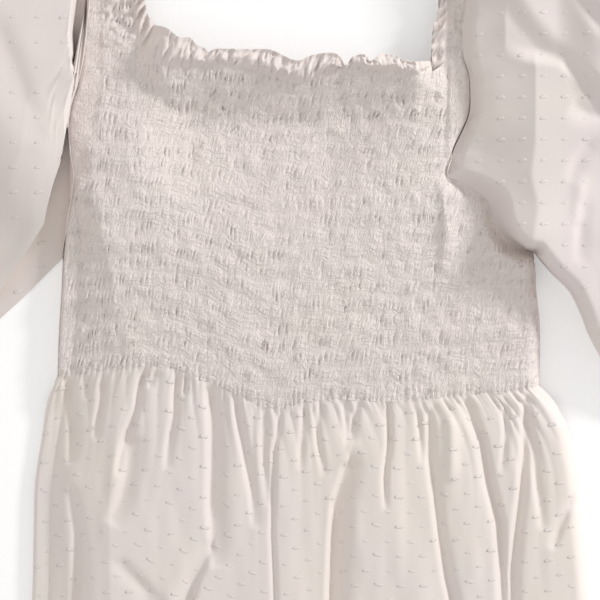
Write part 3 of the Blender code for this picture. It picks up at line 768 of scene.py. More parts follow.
def cloth_sheet(name, points, material, cloth_map, keep=None, closed=False, outward=True,
                crisp=False):
    """A piece of cloth on rows of points, with its flat-cloth map."""
    rows, columns = points.shape[:2]
    index = np.arange(rows * columns).reshape(rows, columns)
    cells = np.stack([index[:-1, :-1], index[:-1, 1:], index[1:, 1:], index[1:, :-1]], axis=-1)
    if keep is not None:
        cells = cells[keep]
    corners = cells.reshape(-1, 4)
    if not outward:
        corners = corners[:, ::-1]
    merged = index.ravel()
    if closed:
        merged = np.where(merged % columns == columns - 1, merged - columns + 1, merged)
    used, inverse = np.unique(merged[corners], return_inverse=True)
    faces = inverse.reshape(-1, 4)
    mesh = bpy.data.meshes.new(name)
    mesh.vertices.add(len(used))
    mesh.vertices.foreach_set("co", (points.reshape(-1, 3)[used] * MM).ravel())
    mesh.loops.add(faces.size)
    mesh.loops.foreach_set("vertex_index", faces.ravel())
    mesh.polygons.add(len(faces))
    mesh.polygons.foreach_set("loop_start", np.arange(len(faces)) * 4)
    mesh.update(calc_edges=True)
    uv = mesh.uv_layers.new(name="Cloth")
    uv.data.foreach_set("uv", cloth_map.reshape(-1, 2)[corners.ravel()].ravel())
    mesh.materials.append(material)
    mesh.shade_smooth()
    mesh.validate()
    mark_sharp_edges(mesh, crisp)
    piece = bpy.data.objects.new(name + "_cloth", mesh)
    bpy.context.scene.collection.objects.link(piece)
    return piece


def place(piece):
    """Give a finished sheet its wall, hide the solid it stands for and hang it on the root body.
    """
    wall = piece.modifiers.new("Wall", "SOLIDIFY")
    wall.thickness = CLOTH_WALL * MM
    wall.offset = -1.0
    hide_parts(piece.name.removesuffix("_cloth"))
    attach(piece, "root")


# Materials

THREAD_PITCH = 0.00045
THREAD_HEIGHT = 0.0002
SLUB_SCALE = 420.0
CREASE_HEIGHT = 0.0016
CREASE_STRENGTH = 0.8
# Range of the patch noise that goes from all cool to all cream
TONE_RANGE = (0.36, 0.64)
ROUGHNESS_CHANGE = 0.08
# Fine creases: noise steps across a row's height, an offset from row to row, their shape
CREASE_STEPS = 2.1
CREASE_ROW_OFFSET = 7.31
CREASE_SHARPNESS = 0.6
CREASE_ARCH = 0.22
# Lines where the cloth is dragged along the elastic: noise steps along and across, height
DRAG_STEPS = (0.2, 5.0)
DRAG_HEIGHT = 0.8


def wired(tree, kind, inputs, **settings):
    """A node with its settings, and its inputs fed by sockets or plain values."""
    node = tree.nodes.new(kind)
    for name, value in settings.items():
        setattr(node, name, value)
    for name, value in inputs.items():
        if isinstance(value, bpy.types.NodeSocket):
            tree.links.new(value, node.inputs[name])
        else:
            node.inputs[name].default_value = value
    return node


def number(tree, operation, *values):
    """Result of a Math node fed by sockets or plain numbers."""
    return wired(tree, "ShaderNodeMath", dict(enumerate(values)), operation=operation).outputs[0]


def noise(group, vector, scale, detail, distortion=0.0):
    """Height of a noise texture."""
    return wired(group, "ShaderNodeTexNoise",
                 {"Vector": vector, "Scale": scale, "Detail": detail,
                  "Distortion": distortion}).outputs["Fac"]


def new_group(name, inputs, output, kind):
    """An empty shader group with named inputs and a first output."""
    group = bpy.data.node_groups.new(name, "ShaderNodeTree")
    for label, socket_kind, default in inputs:
        socket = group.interface.new_socket(name=label, in_out="INPUT", socket_type=socket_kind)
        socket.default_value = default
    group.interface.new_socket(name=output, in_out="OUTPUT", socket_type=kind)
    return group, group.nodes.new("NodeGroupInput").outputs


def plain_weave_group():
    """Height of a plain weave: threads over and under each other, slightly uneven."""
    group, given = new_group(
        "plain weave",
        [("Thread pitch", "NodeSocketFloat", THREAD_PITCH),
         ("Unevenness", "NodeSocketFloat", 0.4)],
        "Height", "NodeSocketFloat")
    spot = wired(group, "ShaderNodeTexCoord", {}).outputs["Object"]
    split = wired(group, "ShaderNodeSeparateXYZ", {0: spot})
    turn = number(group, "DIVIDE", math.pi, given["Thread pitch"])
    warp, weft = (number(group, "SINE", number(group, "MULTIPLY", split.outputs[axis], turn))
                  for axis in (0, 1))
    crossing = number(group, "MULTIPLY", warp, weft)
    slub = number(group, "MULTIPLY", noise(group, spot, SLUB_SCALE, 2.0), given["Unevenness"])
    wired(group, "NodeGroupOutput", {"Height": number(group, "ADD", crossing, slub)})
    return group


def washed_tone_group():
    """Colour of washed cotton: cream and cool patches, and a slightly uneven roughness."""
    group, given = new_group(
        "washed tone",
        [("Cool", "NodeSocketColor", (0.7, 0.64, 0.62, 1)),
         ("Cream", "NodeSocketColor", (0.75, 0.69, 0.62, 1)),
         ("Patch scale", "NodeSocketFloat", 14.0), ("Roughness", "NodeSocketFloat", 0.88)],
        "Colour", "NodeSocketColor")
    group.interface.new_socket(name="Roughness", in_out="OUTPUT", socket_type="NodeSocketFloat")
    spot = wired(group, "ShaderNodeTexCoord", {}).outputs["Object"]
    patches = noise(group, spot, given["Patch scale"], 3.0)
    spread = wired(group, "ShaderNodeMapRange",
                   {"Value": patches, "From Min": TONE_RANGE[0], "From Max": TONE_RANGE[1]})
    mix = wired(group, "ShaderNodeMix",
                {"Factor": spread.outputs["Result"], "A": given["Cool"], "B": given["Cream"]},
                data_type="RGBA")
    rough = number(group, "MULTIPLY_ADD", patches, ROUGHNESS_CHANGE, given["Roughness"])
    wired(group, "NodeGroupOutput", {"Colour": mix.outputs["Result"], "Roughness": rough})
    return group


def crinkle_group():
    """Height of fine creases between rows of elastic, on the sheet's own cloth map."""
    group, given = new_group(
        "shirred crinkle",
        [("Row pitch", "NodeSocketFloat", ROW_PITCH), ("Crease pitch", "NodeSocketFloat", 0.0019),
         ("Slant", "NodeSocketFloat", 0.0042)],
        "Height", "NodeSocketFloat")
    spot = wired(group, "ShaderNodeUVMap", {}, uv_map="Cloth").outputs["UV"]
    split = wired(group, "ShaderNodeSeparateXYZ", {0: spot})
    rows = number(group, "DIVIDE", split.outputs[1], given["Row pitch"])
    band = number(group, "FLOOR", rows)
    between = number(group, "FRACT", rows)
    leaning = number(group, "MULTIPLY", between, given["Slant"])
    shifted = number(group, "SUBTRACT", split.outputs[0], leaning)
    columns = number(group, "DIVIDE", shifted, given["Crease pitch"])
    crease_spot = wired(group, "ShaderNodeCombineXYZ",
                        {0: columns, 1: number(group, "MULTIPLY", between, CREASE_STEPS),
                         2: number(group, "MULTIPLY", band, CREASE_ROW_OFFSET)})
    creased = noise(group, crease_spot.outputs[0], 1.0, 1.5, 0.4)
    centred = number(group, "ABSOLUTE", number(group, "SUBTRACT", creased, 0.5))
    crease = number(group, "POWER", centred, CREASE_SHARPNESS)
    rise = number(group, "SINE", number(group, "MULTIPLY", between, math.pi))
    arch = number(group, "POWER", rise, CREASE_ARCH)
    drag_spot = wired(group, "ShaderNodeCombineXYZ",
                      {0: number(group, "MULTIPLY", columns, DRAG_STEPS[0]),
                       1: number(group, "MULTIPLY", rows, DRAG_STEPS[1])})
    dragged = noise(group, drag_spot.outputs[0], 1.0, 1.0)
    lines = number(group, "MULTIPLY", dragged, DRAG_HEIGHT)
    creases = number(group, "MULTIPLY", crease, arch)
    wired(group, "NodeGroupOutput", {"Height": number(group, "ADD", creases, lines)})
    return group


WEAVE = plain_weave_group()
CRINKLE = crinkle_group()
TONE = washed_tone_group()


def cotton(name, cool, cream, bump=0.25):
    """Woven cotton with its own tones."""
    material = bpy.data.materials.new(name)
    material.use_nodes = True
    tree = material.node_tree
    shader = tree.nodes["Principled BSDF"]
    tone = wired(tree, "ShaderNodeGroup", {}, node_tree=TONE)
    tone.inputs["Cool"].default_value = (*cool, 1)
    tone.inputs["Cream"].default_value = (*cream, 1)
    weave = wired(tree, "ShaderNodeGroup", {}, node_tree=WEAVE)
    bumped = wired(tree, "ShaderNodeBump",
                   {"Height": weave.outputs["Height"], "Strength": bump,
                    "Distance": THREAD_HEIGHT})
    tree.links.new(bumped.outputs["Normal"], shader.inputs["Normal"])
    tree.links.new(tone.outputs["Colour"], shader.inputs["Base Color"])
    tree.links.new(tone.outputs["Roughness"], shader.inputs["Roughness"])
    shader.inputs["Specular IOR Level"].default_value = 0.25
    shader.inputs["Sheen Weight"].default_value = 0.08
    shader.inputs["Sheen Roughness"].default_value = 0.5
    return material


def crinkled(material, strength):
    """Add fine shirred creases under a cotton's weave."""
    tree = material.node_tree
    crinkle = wired(tree, "ShaderNodeGroup", {}, node_tree=CRINKLE)
    creased = wired(tree, "ShaderNodeBump",
                    {"Height": crinkle.outputs["Height"], "Strength": strength,
                     "Distance": CREASE_HEIGHT})
    weave = tree.nodes["Principled BSDF"].inputs["Normal"].links[0].from_node
    tree.links.new(creased.outputs["Normal"], weave.inputs["Normal"])


SHIRRED = cotton("shirred cotton", (0.765, 0.69, 0.668), (0.79, 0.718, 0.683))
SKIRTING = cotton("skirt cotton", (0.785, 0.715, 0.695), (0.80, 0.735, 0.685))
SLEEVING = cotton("sleeve cotton", (0.755, 0.685, 0.67), (0.77, 0.71, 0.67))
FRILLING = cotton("frill cotton", (0.73, 0.655, 0.635), (0.755, 0.685, 0.65))
DASH = cotton("woven dash cotton", (0.77, 0.71, 0.69), (0.79, 0.73, 0.69), bump=0.4)
crinkled(SHIRRED, CREASE_STRENGTH)


# Woven dashes, in metres

DASH_INPUTS = [("Geometry", "Geometry"), ("Pitch", "Float"), ("Turn", "Float"),
               ("Length", "Float"), ("Width", "Float"), ("Height", "Float"), ("Tilt", "Float"),
               ("Count", "Int"), ("Seed", "Int"), ("Finish", "Material")]
DASH_PITCH = 0.01544
DASH_SIZE = {"Length": 0.0062, "Width": 0.0024, "Height": 0.00025}
DASH_WOBBLE = 0.1
DASH_SCALES = (0.8, 1.15)
DASH_SIDES = (8, 4)
# A dash stays where the cloth goes on this far at both sides and is level and unbroken
DASH_ROOM = 0.0036
DASH_LEVEL = 0.75
DASH_BREAK = 0.009


def dash_spots(tree, given):
    """Where a turned lattice meets the cloth: place, turn, and whether a dash fits there."""
    position = wired(tree, "GeometryNodeInputPosition", {}).outputs[0]
    normal = wired(tree, "GeometryNodeInputNormal", {}).outputs[0]
    cloth_map = wired(tree, "GeometryNodeInputNamedAttribute", {"Name": "Cloth"},
                      data_type="FLOAT_VECTOR").outputs["Attribute"]
    turned = wired(tree, "ShaderNodeVectorRotate",
                   {"Vector": position, "Angle": given["Turn"]}, rotation_type="Z_AXIS").outputs[0]

    def sampled(value, at):
        return wired(tree, "GeometryNodeSampleUVSurface",
                     {"Mesh": given["Geometry"], "Value": value, "Source UV Map": cloth_map,
                      "Sample UV": at}, data_type="FLOAT_VECTOR").outputs

    def vector(operation, *values):
        return wired(tree, "ShaderNodeVectorMath", dict(enumerate(values)),
                     operation=operation).outputs

    here = sampled(position, turned)
    aside, behind = (sampled(position, vector("ADD", turned, (away, 0.0, 0.0))[0])
                     for away in (DASH_ROOM, -DASH_ROOM))
    facing = sampled(normal, turned)["Value"]
    run = vector("SUBTRACT", aside["Value"], here["Value"])[0]
    up = wired(tree, "FunctionNodeAlignRotationToVector", {"Vector": facing}, axis="Z")
    along = wired(tree, "FunctionNodeAlignRotationToVector",
                  {"Rotation": up.outputs["Rotation"], "Vector": run}, axis="X", pivot_axis="Z")
    wobble = wired(tree, "FunctionNodeRandomValue",
                   {"Min": -DASH_WOBBLE, "Max": DASH_WOBBLE, "Seed": given["Seed"]},
                   data_type="FLOAT").outputs["Value"]
    tilt = wired(tree, "FunctionNodeAxisAngleToRotation",
                 {"Axis": (0, 0, 1), "Angle": number(tree, "ADD", wobble, given["Tilt"])})
    turn = wired(tree, "FunctionNodeRotateRotation",
                 {"Rotation": along.outputs["Rotation"], "Rotate By": tilt.outputs["Rotation"]},
                 rotation_space="LOCAL").outputs["Rotation"]
    upright = wired(tree, "ShaderNodeSeparateXYZ", {0: facing}).outputs[2]
    level = number(tree, "GREATER_THAN", number(tree, "ABSOLUTE", upright), DASH_LEVEL)
    whole = number(tree, "LESS_THAN", vector("LENGTH", run)["Value"], DASH_BREAK)
    both_sides = number(tree, "MULTIPLY", aside["Is Valid"], behind["Is Valid"])
    on_sheet = number(tree, "MULTIPLY", here["Is Valid"], both_sides)
    fits = number(tree, "MULTIPLY", on_sheet, number(tree, "MULTIPLY", level, whole))
    return here["Value"], turn, fits


def stored(tree, geometry, name, kind, value):
    """Keep a value on the points under a name; gives the geometry and the value read back."""
    store = wired(tree, "GeometryNodeStoreNamedAttribute",
                  {"Geometry": geometry, "Name": name, "Value": value},
                  data_type=kind, domain="POINT")
    read = wired(tree, "GeometryNodeInputNamedAttribute", {"Name": name}, data_type=kind)
    return store.outputs[0], read.outputs["Attribute"]


def one_dash(tree, given):
    """A flat bead of the dash's own length, width and height."""
    segments, rings = DASH_SIDES
    bead = wired(tree, "GeometryNodeMeshUVSphere",
                 {"Segments": segments, "Rings": rings, "Radius": 0.5})
    size = wired(tree, "ShaderNodeCombineXYZ",
                 {0: given["Length"], 1: given["Width"], 2: given["Height"]})
    return wired(tree, "GeometryNodeTransform",
                 {"Geometry": bead.outputs["Mesh"], "Scale": size.outputs[0]}).outputs["Geometry"]


def dash_tree():
    """Geometry nodes that lay a turned lattice of woven dashes over a sheet's cloth map."""
    tree = bpy.data.node_groups.new("woven dashes", "GeometryNodeTree")
    for label, kind in DASH_INPUTS:
        tree.interface.new_socket(name=label, in_out="INPUT", socket_type="NodeSocket" + kind)
    tree.interface.new_socket(name="Geometry", in_out="OUTPUT", socket_type="NodeSocketGeometry")
    given = wired(tree, "NodeGroupInput", {}).outputs
    gaps = number(tree, "SUBTRACT", given["Count"], 1.0)
    side = number(tree, "MULTIPLY", given["Pitch"], gaps)
    lattice = wired(tree, "GeometryNodeMeshGrid",
                    {"Size X": side, "Size Y": side, "Vertices X": given["Count"],
                     "Vertices Y": given["Count"]}).outputs["Mesh"]
    place_on_cloth, turn_on_cloth, fits = dash_spots(tree, given)
    lattice, spot = stored(tree, lattice, "dash_place", "FLOAT_VECTOR", place_on_cloth)
    lattice, turn = stored(tree, lattice, "dash_turn", "QUATERNION", turn_on_cloth)
    trimmed = wired(tree, "GeometryNodeDeleteGeometry",
                    {"Geometry": lattice, "Selection": number(tree, "LESS_THAN", fits, 0.5)},
                    domain="POINT")
    moved = wired(tree, "GeometryNodeSetPosition",
                  {"Geometry": trimmed.outputs["Geometry"], "Position": spot})
    grow = wired(tree, "FunctionNodeRandomValue",
                 {"Min": DASH_SCALES[0], "Max": DASH_SCALES[1],
                  "Seed": number(tree, "ADD", given["Seed"], 1.0)}, data_type="FLOAT")
    dashes = wired(tree, "GeometryNodeInstanceOnPoints",
                   {"Points": moved.outputs["Geometry"], "Instance": one_dash(tree, given),
                    "Rotation": turn, "Scale": grow.outputs["Value"]})
    real = wired(tree, "GeometryNodeRealizeInstances", {"Geometry": dashes.outputs["Instances"]})
    smooth = wired(tree, "GeometryNodeSetShadeSmooth", {"Geometry": real.outputs["Geometry"]})
    finish = wired(tree, "GeometryNodeSetMaterial",
                   {"Geometry": smooth.outputs["Geometry"], "Material": given["Finish"]})
    wired(tree, "NodeGroupOutput", {"Geometry": finish.outputs["Geometry"]})
    return tree


DASHES = dash_tree()


def weave_dashes(sheet, name, turn, tilt, seed, count):
    """The raised dashes of one sheet, as a plain mesh of its own."""
    carrier = bpy.data.objects.new(name + "_carrier", sheet.data)
    bpy.context.scene.collection.objects.link(carrier)
    layer = carrier.modifiers.new("Dashes", "NODES")
    layer.node_group = DASHES
    values = {"Pitch": DASH_PITCH, "Turn": turn, "Tilt": tilt, "Count": count, "Seed": seed,
              "Finish": DASH, **DASH_SIZE}
    for item in DASHES.interface.items_tree:
        if item.item_type == "SOCKET" and item.in_out == "INPUT" and item.name in values:
            layer[item.identifier] = values[item.name]
    bpy.context.view_layer.update()
    depsgraph = bpy.context.evaluated_depsgraph_get()
    mesh = bpy.data.meshes.new_from_object(carrier.evaluated_get(depsgraph))
    mesh.name = name
    bpy.data.objects.remove(carrier)
    for label in ("dash_place", "dash_turn"):
        if label in mesh.attributes:
            mesh.attributes.remove(mesh.attributes[label])
    dashes = bpy.data.objects.new(name, mesh)
    bpy.context.scene.collection.objects.link(dashes)
    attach(dashes, "root")
    return dashes


# Bodice

def sewn(points, shares, row, row_shares, reach):
    """Points whose first row is moved onto a neighbour's edge, and less so further on."""
    target = np.stack([np.interp(shares, row_shares, row[:, k]) for k in range(3)], axis=-1)
    away = np.linalg.norm(points[..., :2] - points[:1, :, :2], axis=-1, keepdims=True)
    return points + (target - points[0])[None] * np.exp(-away / reach)


def bodice_keep(main, scoop, low_rows, high_rows):
    """Which cells of the bodice grid aren't cut away by the right armhole."""
    keep = np.ones((low_rows + high_rows, main + scoop), bool)
    keep[low_rows:, main:] = False
    return keep


def seam_dip(distance):
    """Share of a seam's depth at a distance from it."""
    return np.exp(-(distance / DIP_WIDTH) ** 2)


def front_bodice(plan, relief, left, right):
    """Points of the front bodice: its form, with its relief and the gathers at the waist."""
    at_edge = np.minimum(edge_distance(plan, left), edge_distance(plan, right))
    at_waist = edge_distance(plan, WAIST)
    points = with_height(plan, rounded_height(plan, left, right))
    beside_arm = (plan[..., 0] > RIGHT_ARM_X) & (plan[..., 1] < RIGHT_ARM_TOP)
    relief = relief + (BODICE_GATHER_HEIGHT
                       * gathers(plan[..., 0], np.zeros(plan.shape[:2]), FRONT_GATHERS)
                       * np.exp(-at_waist / BODICE_GATHER_REACH))
    relief = (relief * soft_step(0.0, 3.0, at_edge)
              - np.where(beside_arm, 0.0, SIDE_DIP) * seam_dip(at_edge)
              - WAIST_DIP * seam_dip(at_waist))
    points = points + sheet_normals(points) * relief[..., None]
    points[..., 2] = np.maximum(points[..., 2], LOWEST_TOP)
    return points


def flat_back(plan, relief, at_edge, name):
    """Points of a back panel, which lies on the surface with only its relief above it."""
    margin, share = FLAT_BACK[name]
    return with_height(plan, np.maximum(relief, 0) * soft_step(0, margin, at_edge) * share)


def make_bodice():
    """Front and back bodice panels with their shirring; returns the front's waist and neck."""
    left = LEFT_LOW + LEFT_HIGH[1:]
    right = RIGHT_LOW + SCOOP[::-1][1:] + RIGHT_HIGH[1:]
    for name, drop, neck, stops, grid in (
            ("bodice_front", 0.0, NECK_FRONT, NECK_STOPS_FRONT, FRONT_BODICE_GRID),
            ("bodice_back", BACK_WAIST_DROP, NECK_BACK, NECK_STOPS_BACK, BACK_BODICE_GRID)):
        plan = bodice_plan(drop, neck, stops, *grid)
        front = name == "bodice_front"
        relief = bodice_relief(plan, front)
        if front:
            points = front_bodice(plan, relief, left, right)
            waist_row, neck_row = points[0], points[-1, :grid[0] + 1]
        else:
            at_edge = np.minimum(edge_distance(plan, left), edge_distance(plan, right))
            points = flat_back(plan, relief, at_edge, "bodice")
        rows = shirred_rows(plan[..., 0], plan[..., 1])
        cloth_map = np.stack([plan[..., 0] * MM, rows * ROW_PITCH], axis=-1)
        piece = cloth_sheet(name, points, SHIRRED, cloth_map, keep=bodice_keep(*grid),
                            outward=front)
        place(piece)
    return waist_row, neck_row


# Skirt

# Rows of the skirt's front: close together near the waist, and wider apart below
NEAR_WAIST = 0.235
NEAR_ROWS = 93
FAR_ROWS = 42
FAR_SPREAD = 1.1
BACK_ROWS = 60
WAIST_SEWN_REACH = 4.0
SKIRT_DASHES = {"turn": math.pi / 4, "tilt": 0.0, "seed": 3, "count": 72}


def front_skirt(plan, relief, columns, waist_row):
    """Points of the front skirt, hem to waist, sewn to the bodice along its last row."""
    height = rounded_height(plan, SKIRT_LEFT, SKIRT_RIGHT)
    points = with_height(plan, height)
    lift = np.clip((height - SEAM_EDGE) / SKIRT_LIFT_HEIGHT, 0, 1)
    relief = relief * lift - WAIST_DIP * seam_dip(edge_distance(plan, WAIST))
    points = points + sheet_normals(points) * relief[..., None]
    points[..., 2] = np.maximum(points[..., 2], LOWEST_TOP)
    bodice_columns = body_columns(*FRONT_BODICE_GRID[:2])
    return sewn(points[::-1], columns, waist_row, bodice_columns, WAIST_SEWN_REACH)[::-1]


def make_skirt(waist_row):
    """Front and back skirt panels with folds, gathers and woven dashes."""
    near = np.linspace(0, NEAR_WAIST, NEAR_ROWS)
    far = NEAR_WAIST + (1 - NEAR_WAIST) * np.linspace(0, 1, FAR_ROWS)[1:] ** FAR_SPREAD
    (hem_cut, length_cut), _ = SKIRT_CUT
    for name, drop, levels, count in (
            ("skirt_front", 0.0, np.concatenate([near, far]), FRONT_SKIRT_COLUMNS),
            ("skirt_back", BACK_WAIST_DROP, np.linspace(0, 1, BACK_ROWS), BACK_SKIRT_COLUMNS)):
        columns = body_columns(*count)
        plan = skirt_plan(drop, levels, columns)
        front = name == "skirt_front"
        across = np.broadcast_to(waist_points(drop, columns)[:, 0], plan.shape[:2])
        relief = skirt_relief(plan, across, front)
        if front:
            points = front_skirt(plan, relief, columns, waist_row)
        else:
            at_edge = np.minimum(edge_distance(plan, SKIRT_LEFT),
                                 edge_distance(plan, SKIRT_RIGHT))
            points = flat_back(plan, relief, at_edge, "skirt")
        down = np.broadcast_to(np.asarray(levels)[::-1, None], plan.shape[:2])
        wide = SKIRT_WAIST_CUT + (hem_cut - SKIRT_WAIST_CUT) * down
        cloth_map = np.stack([(np.broadcast_to(columns, plan.shape[:2]) - 0.5) * wide,
                              -length_cut * down], axis=-1)
        piece = cloth_sheet(name, points, SKIRTING, cloth_map, outward=front)
        dashes = weave_dashes(piece, name + "_dashes", **SKIRT_DASHES)
        place(piece)


# Straps and neck frills

STRAP_ROWS = 90
SHOULDER_ROWS = 16
STRAP_WIDTHS = {"left": 36, "right": 18}
STRAP_ENDS = {"left": (0.0, LEFT_STRAP_END), "right": (RIGHT_STRAP_START, 1.0)}
# Rows over which a strap's ends are eased onto the neck edges, and how far it is sewn on
EASED_ROWS = 12
STRAP_SEWN_REACH = 3.0
# Heights above the surface over which relief sets in
CLEAR_OF_SURFACE = (1.0, 5.0)
# Left strap: its smooth band's edge, the gain of its puckers, crushed cloth above the corner
LEFT_STRAP_BAND = -147
LEFT_STRAP_GAIN = 1.5
LEFT_STRAP_CRUSH = 1.2
LEFT_STRAP_CRUSH_START = (258, 270)
RIGHT_STRAP_CROWN = 1.3
RIGHT_STRAP_CRUSH = 1.6
STRAP_EDGE_SHARE = 0.4
STRAP_EDGE_REACH = 2.5
# Frills along the straps
RUFFLE_COLUMNS = 15
RUFFLE_PITCH = 11
RUFFLE_CRUSH = 1.3
RUFFLE_CRUSH_LENGTH = 12
RUFFLE_LIFT = 1.5
RUFFLE_START = (0, 4)
RUFFLE_SEAM = (0, 0.3)


def hairpin(front_edge, back_end):
    """One lengthwise line of a strap: up the front, over the shoulder and down the back."""
    up = edge_points(front_edge, np.linspace(0, 1, STRAP_ROWS + 1))
    angles = np.arange(1, SHOULDER_ROWS) / SHOULDER_ROWS * math.pi
    radius = STRAP_HEIGHT / 2
    line = [(x, y, STRAP_HEIGHT) for x, y in up]
    line += [(up[-1, 0], up[-1, 1] + radius * math.sin(a), radius + radius * math.cos(a))
             for a in angles]
    share = np.linspace(0, 1, STRAP_ROWS + 1)[:, None]
    down = up[::-1] + share * (np.array(back_end) - up[0])
    line += [(x, y, 0.0) for x, y in down]
    return np.array(line)


def blended(first, last, shares):
    """Rows of points from one line to another, at shares of the way."""
    return first[:, None] * (1 - shares[None, :, None]) + last[:, None] * shares[None, :, None]


def stood_out(points, relief):
    """Strap or frill with its relief, and whether its own normals face outwards."""
    normals = sheet_normals(points)
    outward = normals[:STRAP_ROWS // 2, :, 2].mean() > 0
    above = soft_step(*CLEAR_OF_SURFACE, points[..., 2])
    points = points + normals * ((1 if outward else -1) * relief * above)[..., None]
    points[..., 2] = np.maximum(points[..., 2], 0)
    return points, outward


def strap_relief(side, strap, across, width):
    """Shirring of the left strap, or the crushed crown of the narrow right one."""
    x, y = strap[..., 0], strap[..., 1]
    if side == "left":
        shirred = soft_step(*LEFT_BAND_EDGE, x - LEFT_STRAP_BAND)
        relief = LEFT_STRAP_GAIN * shirring(x, shirred_rows(x, y), FRONT_PUCKERS) * shirred
        relief += uneven(x, y, BODICE_WAVES)
        relief += (LEFT_STRAP_CRUSH * crumple(x, y, 55) * shirred
                   * soft_step(*LEFT_STRAP_CRUSH_START, y))
    else:
        relief = (RIGHT_STRAP_CROWN * np.sin(math.pi * across)[None, :]
                  + RIGHT_STRAP_CRUSH * crumple(x, y, 54))
    edge = np.minimum(across, 1 - across)[None, :] * width
    return (relief * (STRAP_EDGE_SHARE
                      + (1 - STRAP_EDGE_SHARE) * soft_step(0, STRAP_EDGE_REACH, edge))
            - STRAP_DIP * seam_dip(edge))


def strap_frill(side, seam, frill, length):
    """Frilled heading from a strap's neck edge to the frill's own edge."""
    share = np.linspace(0, 1, RUFFLE_COLUMNS)
    edge = blended(seam, frill, share)
    share = share[None, :]
    along = np.broadcast_to(length[:, None], edge.shape[:2])
    waves = np.sin(along * 2 * math.pi / RUFFLE_PITCH + uneven(along, share, RUFFLE_SWAY))
    crushed = RUFFLE_CRUSH * crumple(along, RUFFLE_CRUSH_LENGTH * share, 62)
    ruffle = ((1 + share) * (waves + crushed) + RUFFLE_LIFT) * soft_step(*RUFFLE_START, along)
    out = np.sign(frill[0, 0] - seam[0, 0])
    edge[..., 0] += out * share * uneven(along, MIDLINE, RUFFLE_EDGE)
    edge, outward = stood_out(edge, ruffle * soft_step(*RUFFLE_SEAM, share))
    piece = cloth_sheet("neck_frill_" + side, edge, FRILLING, edge[..., :2] * MM,
                        outward=outward)
    place(piece)


def make_straps(neck_row):
    """Both shoulder straps, with the frills along their neck edges."""
    for side in ("left", "right"):
        table = STRAPS[side]
        outer = hairpin(table["outer"], table["outer"][0])
        inner = hairpin(table["inner"], table["back_inner"])
        frill = hairpin(table["frill"], table["back_frill"])
        first_line, last_line = (outer, inner) if side == "left" else (inner, outer)
        across = np.linspace(0, 1, STRAP_WIDTHS[side] + 1)
        strap = blended(first_line, last_line, across)
        first, last = STRAP_ENDS[side]
        shares = first + (last - first) * across
        front_end = neck_points(NECK_FRONT, NECK_STOPS_FRONT, shares)
        back_end = neck_points(NECK_BACK, NECK_STOPS_BACK, shares)
        ease = np.clip(1 - np.arange(len(strap)) / EASED_ROWS, 0, 1)[:, None, None]
        strap[..., :2] += ease * (front_end - strap[0, :, :2])
        strap[..., :2] += ease[::-1] * (back_end - strap[-1, :, :2])
        steps = np.linalg.norm(np.diff(strap[:, 0], axis=0), axis=1)
        length = np.cumsum(np.concatenate([[0], steps]))
        width = abs(inner[0, 0] - outer[0, 0])
        strap, outward = stood_out(strap, strap_relief(side, strap, across, width))
        strap = sewn(strap, shares, neck_row, spread_columns(FRONT_BODICE_GRID[0]),
                     STRAP_SEWN_REACH)
        piece = cloth_sheet("strap_" + side, strap, SHIRRED, strap[..., :2] * MM,
                            outward=outward)
        place(piece)
        seam = strap[:, 0] if side == "right" else strap[:, -1]
        strap_frill(side, seam, frill, length)


# Front frill: columns and rows, its pleats at the seam, its dents, its roll, its lifted middle
FRONT_FRILL_GRID = (300, 26)
PLEAT_PITCH = 7.5
PLEAT_SLANT = 0.3
PLEAT_DEPTH = 3.0
FRILL_CRUSH = 2.4
FRILL_CRUSH_LENGTHS = (1.25, 9)
FRILL_CRUSH_START = (0, 0.3)
FRILL_ROLL = 4.5
FRILL_ROLL_END = 0.85
FRILL_ENDS = (-118, 97)
FRILL_END_FADE = 3
FRILL_LIFT = 1.1
FRILL_LIFT_LEFT = (-122, -100)
FRILL_LIFT_RIGHT = (85, 97)
FRILL_SEWN_REACH = 3.5
BACK_FRILL_GRID = (160, 12)
BACK_FRILL_PITCH = 11
BACK_FRILL_HEIGHT = 1.6


def frill_plan(lower, upper, rows):
    """Plan of a frill between two edges, with each point's x at the seam and share up."""
    up = np.linspace(0, 1, rows)
    plan = lower[None] * (1 - up[:, None, None]) + upper[None] * up[:, None, None]
    x = np.broadcast_to(lower[:, 0], plan.shape[:2])
    return plan, x, np.broadcast_to(up[:, None], plan.shape[:2])


def make_front_frill(neck_row):
    """Frilled heading above the front neck: pleated at its seam, crushed above it."""
    count, rows = FRONT_FRILL_GRID
    shares = np.linspace(LEFT_STRAP_END, FRILL_END, count)
    lower = neck_points(NECK_FRONT, NECK_STOPS_FRONT, shares)
    plan, x, v = frill_plan(lower, edge_points(FRILL_FRONT, np.linspace(0, 1, count)), rows)
    pleats = 1 - np.abs(np.sin(math.pi * (x / PLEAT_PITCH + PLEAT_SLANT * v
                                          + uneven(x, v, PLEAT_SWAY))))
    crush_across, crush_up = FRILL_CRUSH_LENGTHS
    relief = (FRILL_CRUSH * soft_step(*FRILL_CRUSH_START, v)
              * crumple(crush_across * x, crush_up * v, 73)
              - PLEAT_DEPTH * (1 - v) * pleats ** 2 + v * uneven(x, v, FRILL_WAVES)
              + FRILL_ROLL * np.sin(math.pi * np.minimum(v, FRILL_ROLL_END)))
    left_end, right_end = FRILL_ENDS
    relief *= (soft_step(0, FRILL_END_FADE, x - left_end)
               * soft_step(0, FRILL_END_FADE, right_end - x))
    lift = NECK_LIFT * FRILL_LIFT * stretch(FRILL_LIFT_LEFT, FRILL_LIFT_RIGHT, x)
    points = with_height(plan, STRAP_HEIGHT + lift + relief)
    points = sewn(points, shares, neck_row, spread_columns(FRONT_BODICE_GRID[0]),
                  FRILL_SEWN_REACH)
    piece = cloth_sheet("neck_frill_front", points, FRILLING, plan * MM)
    place(piece)


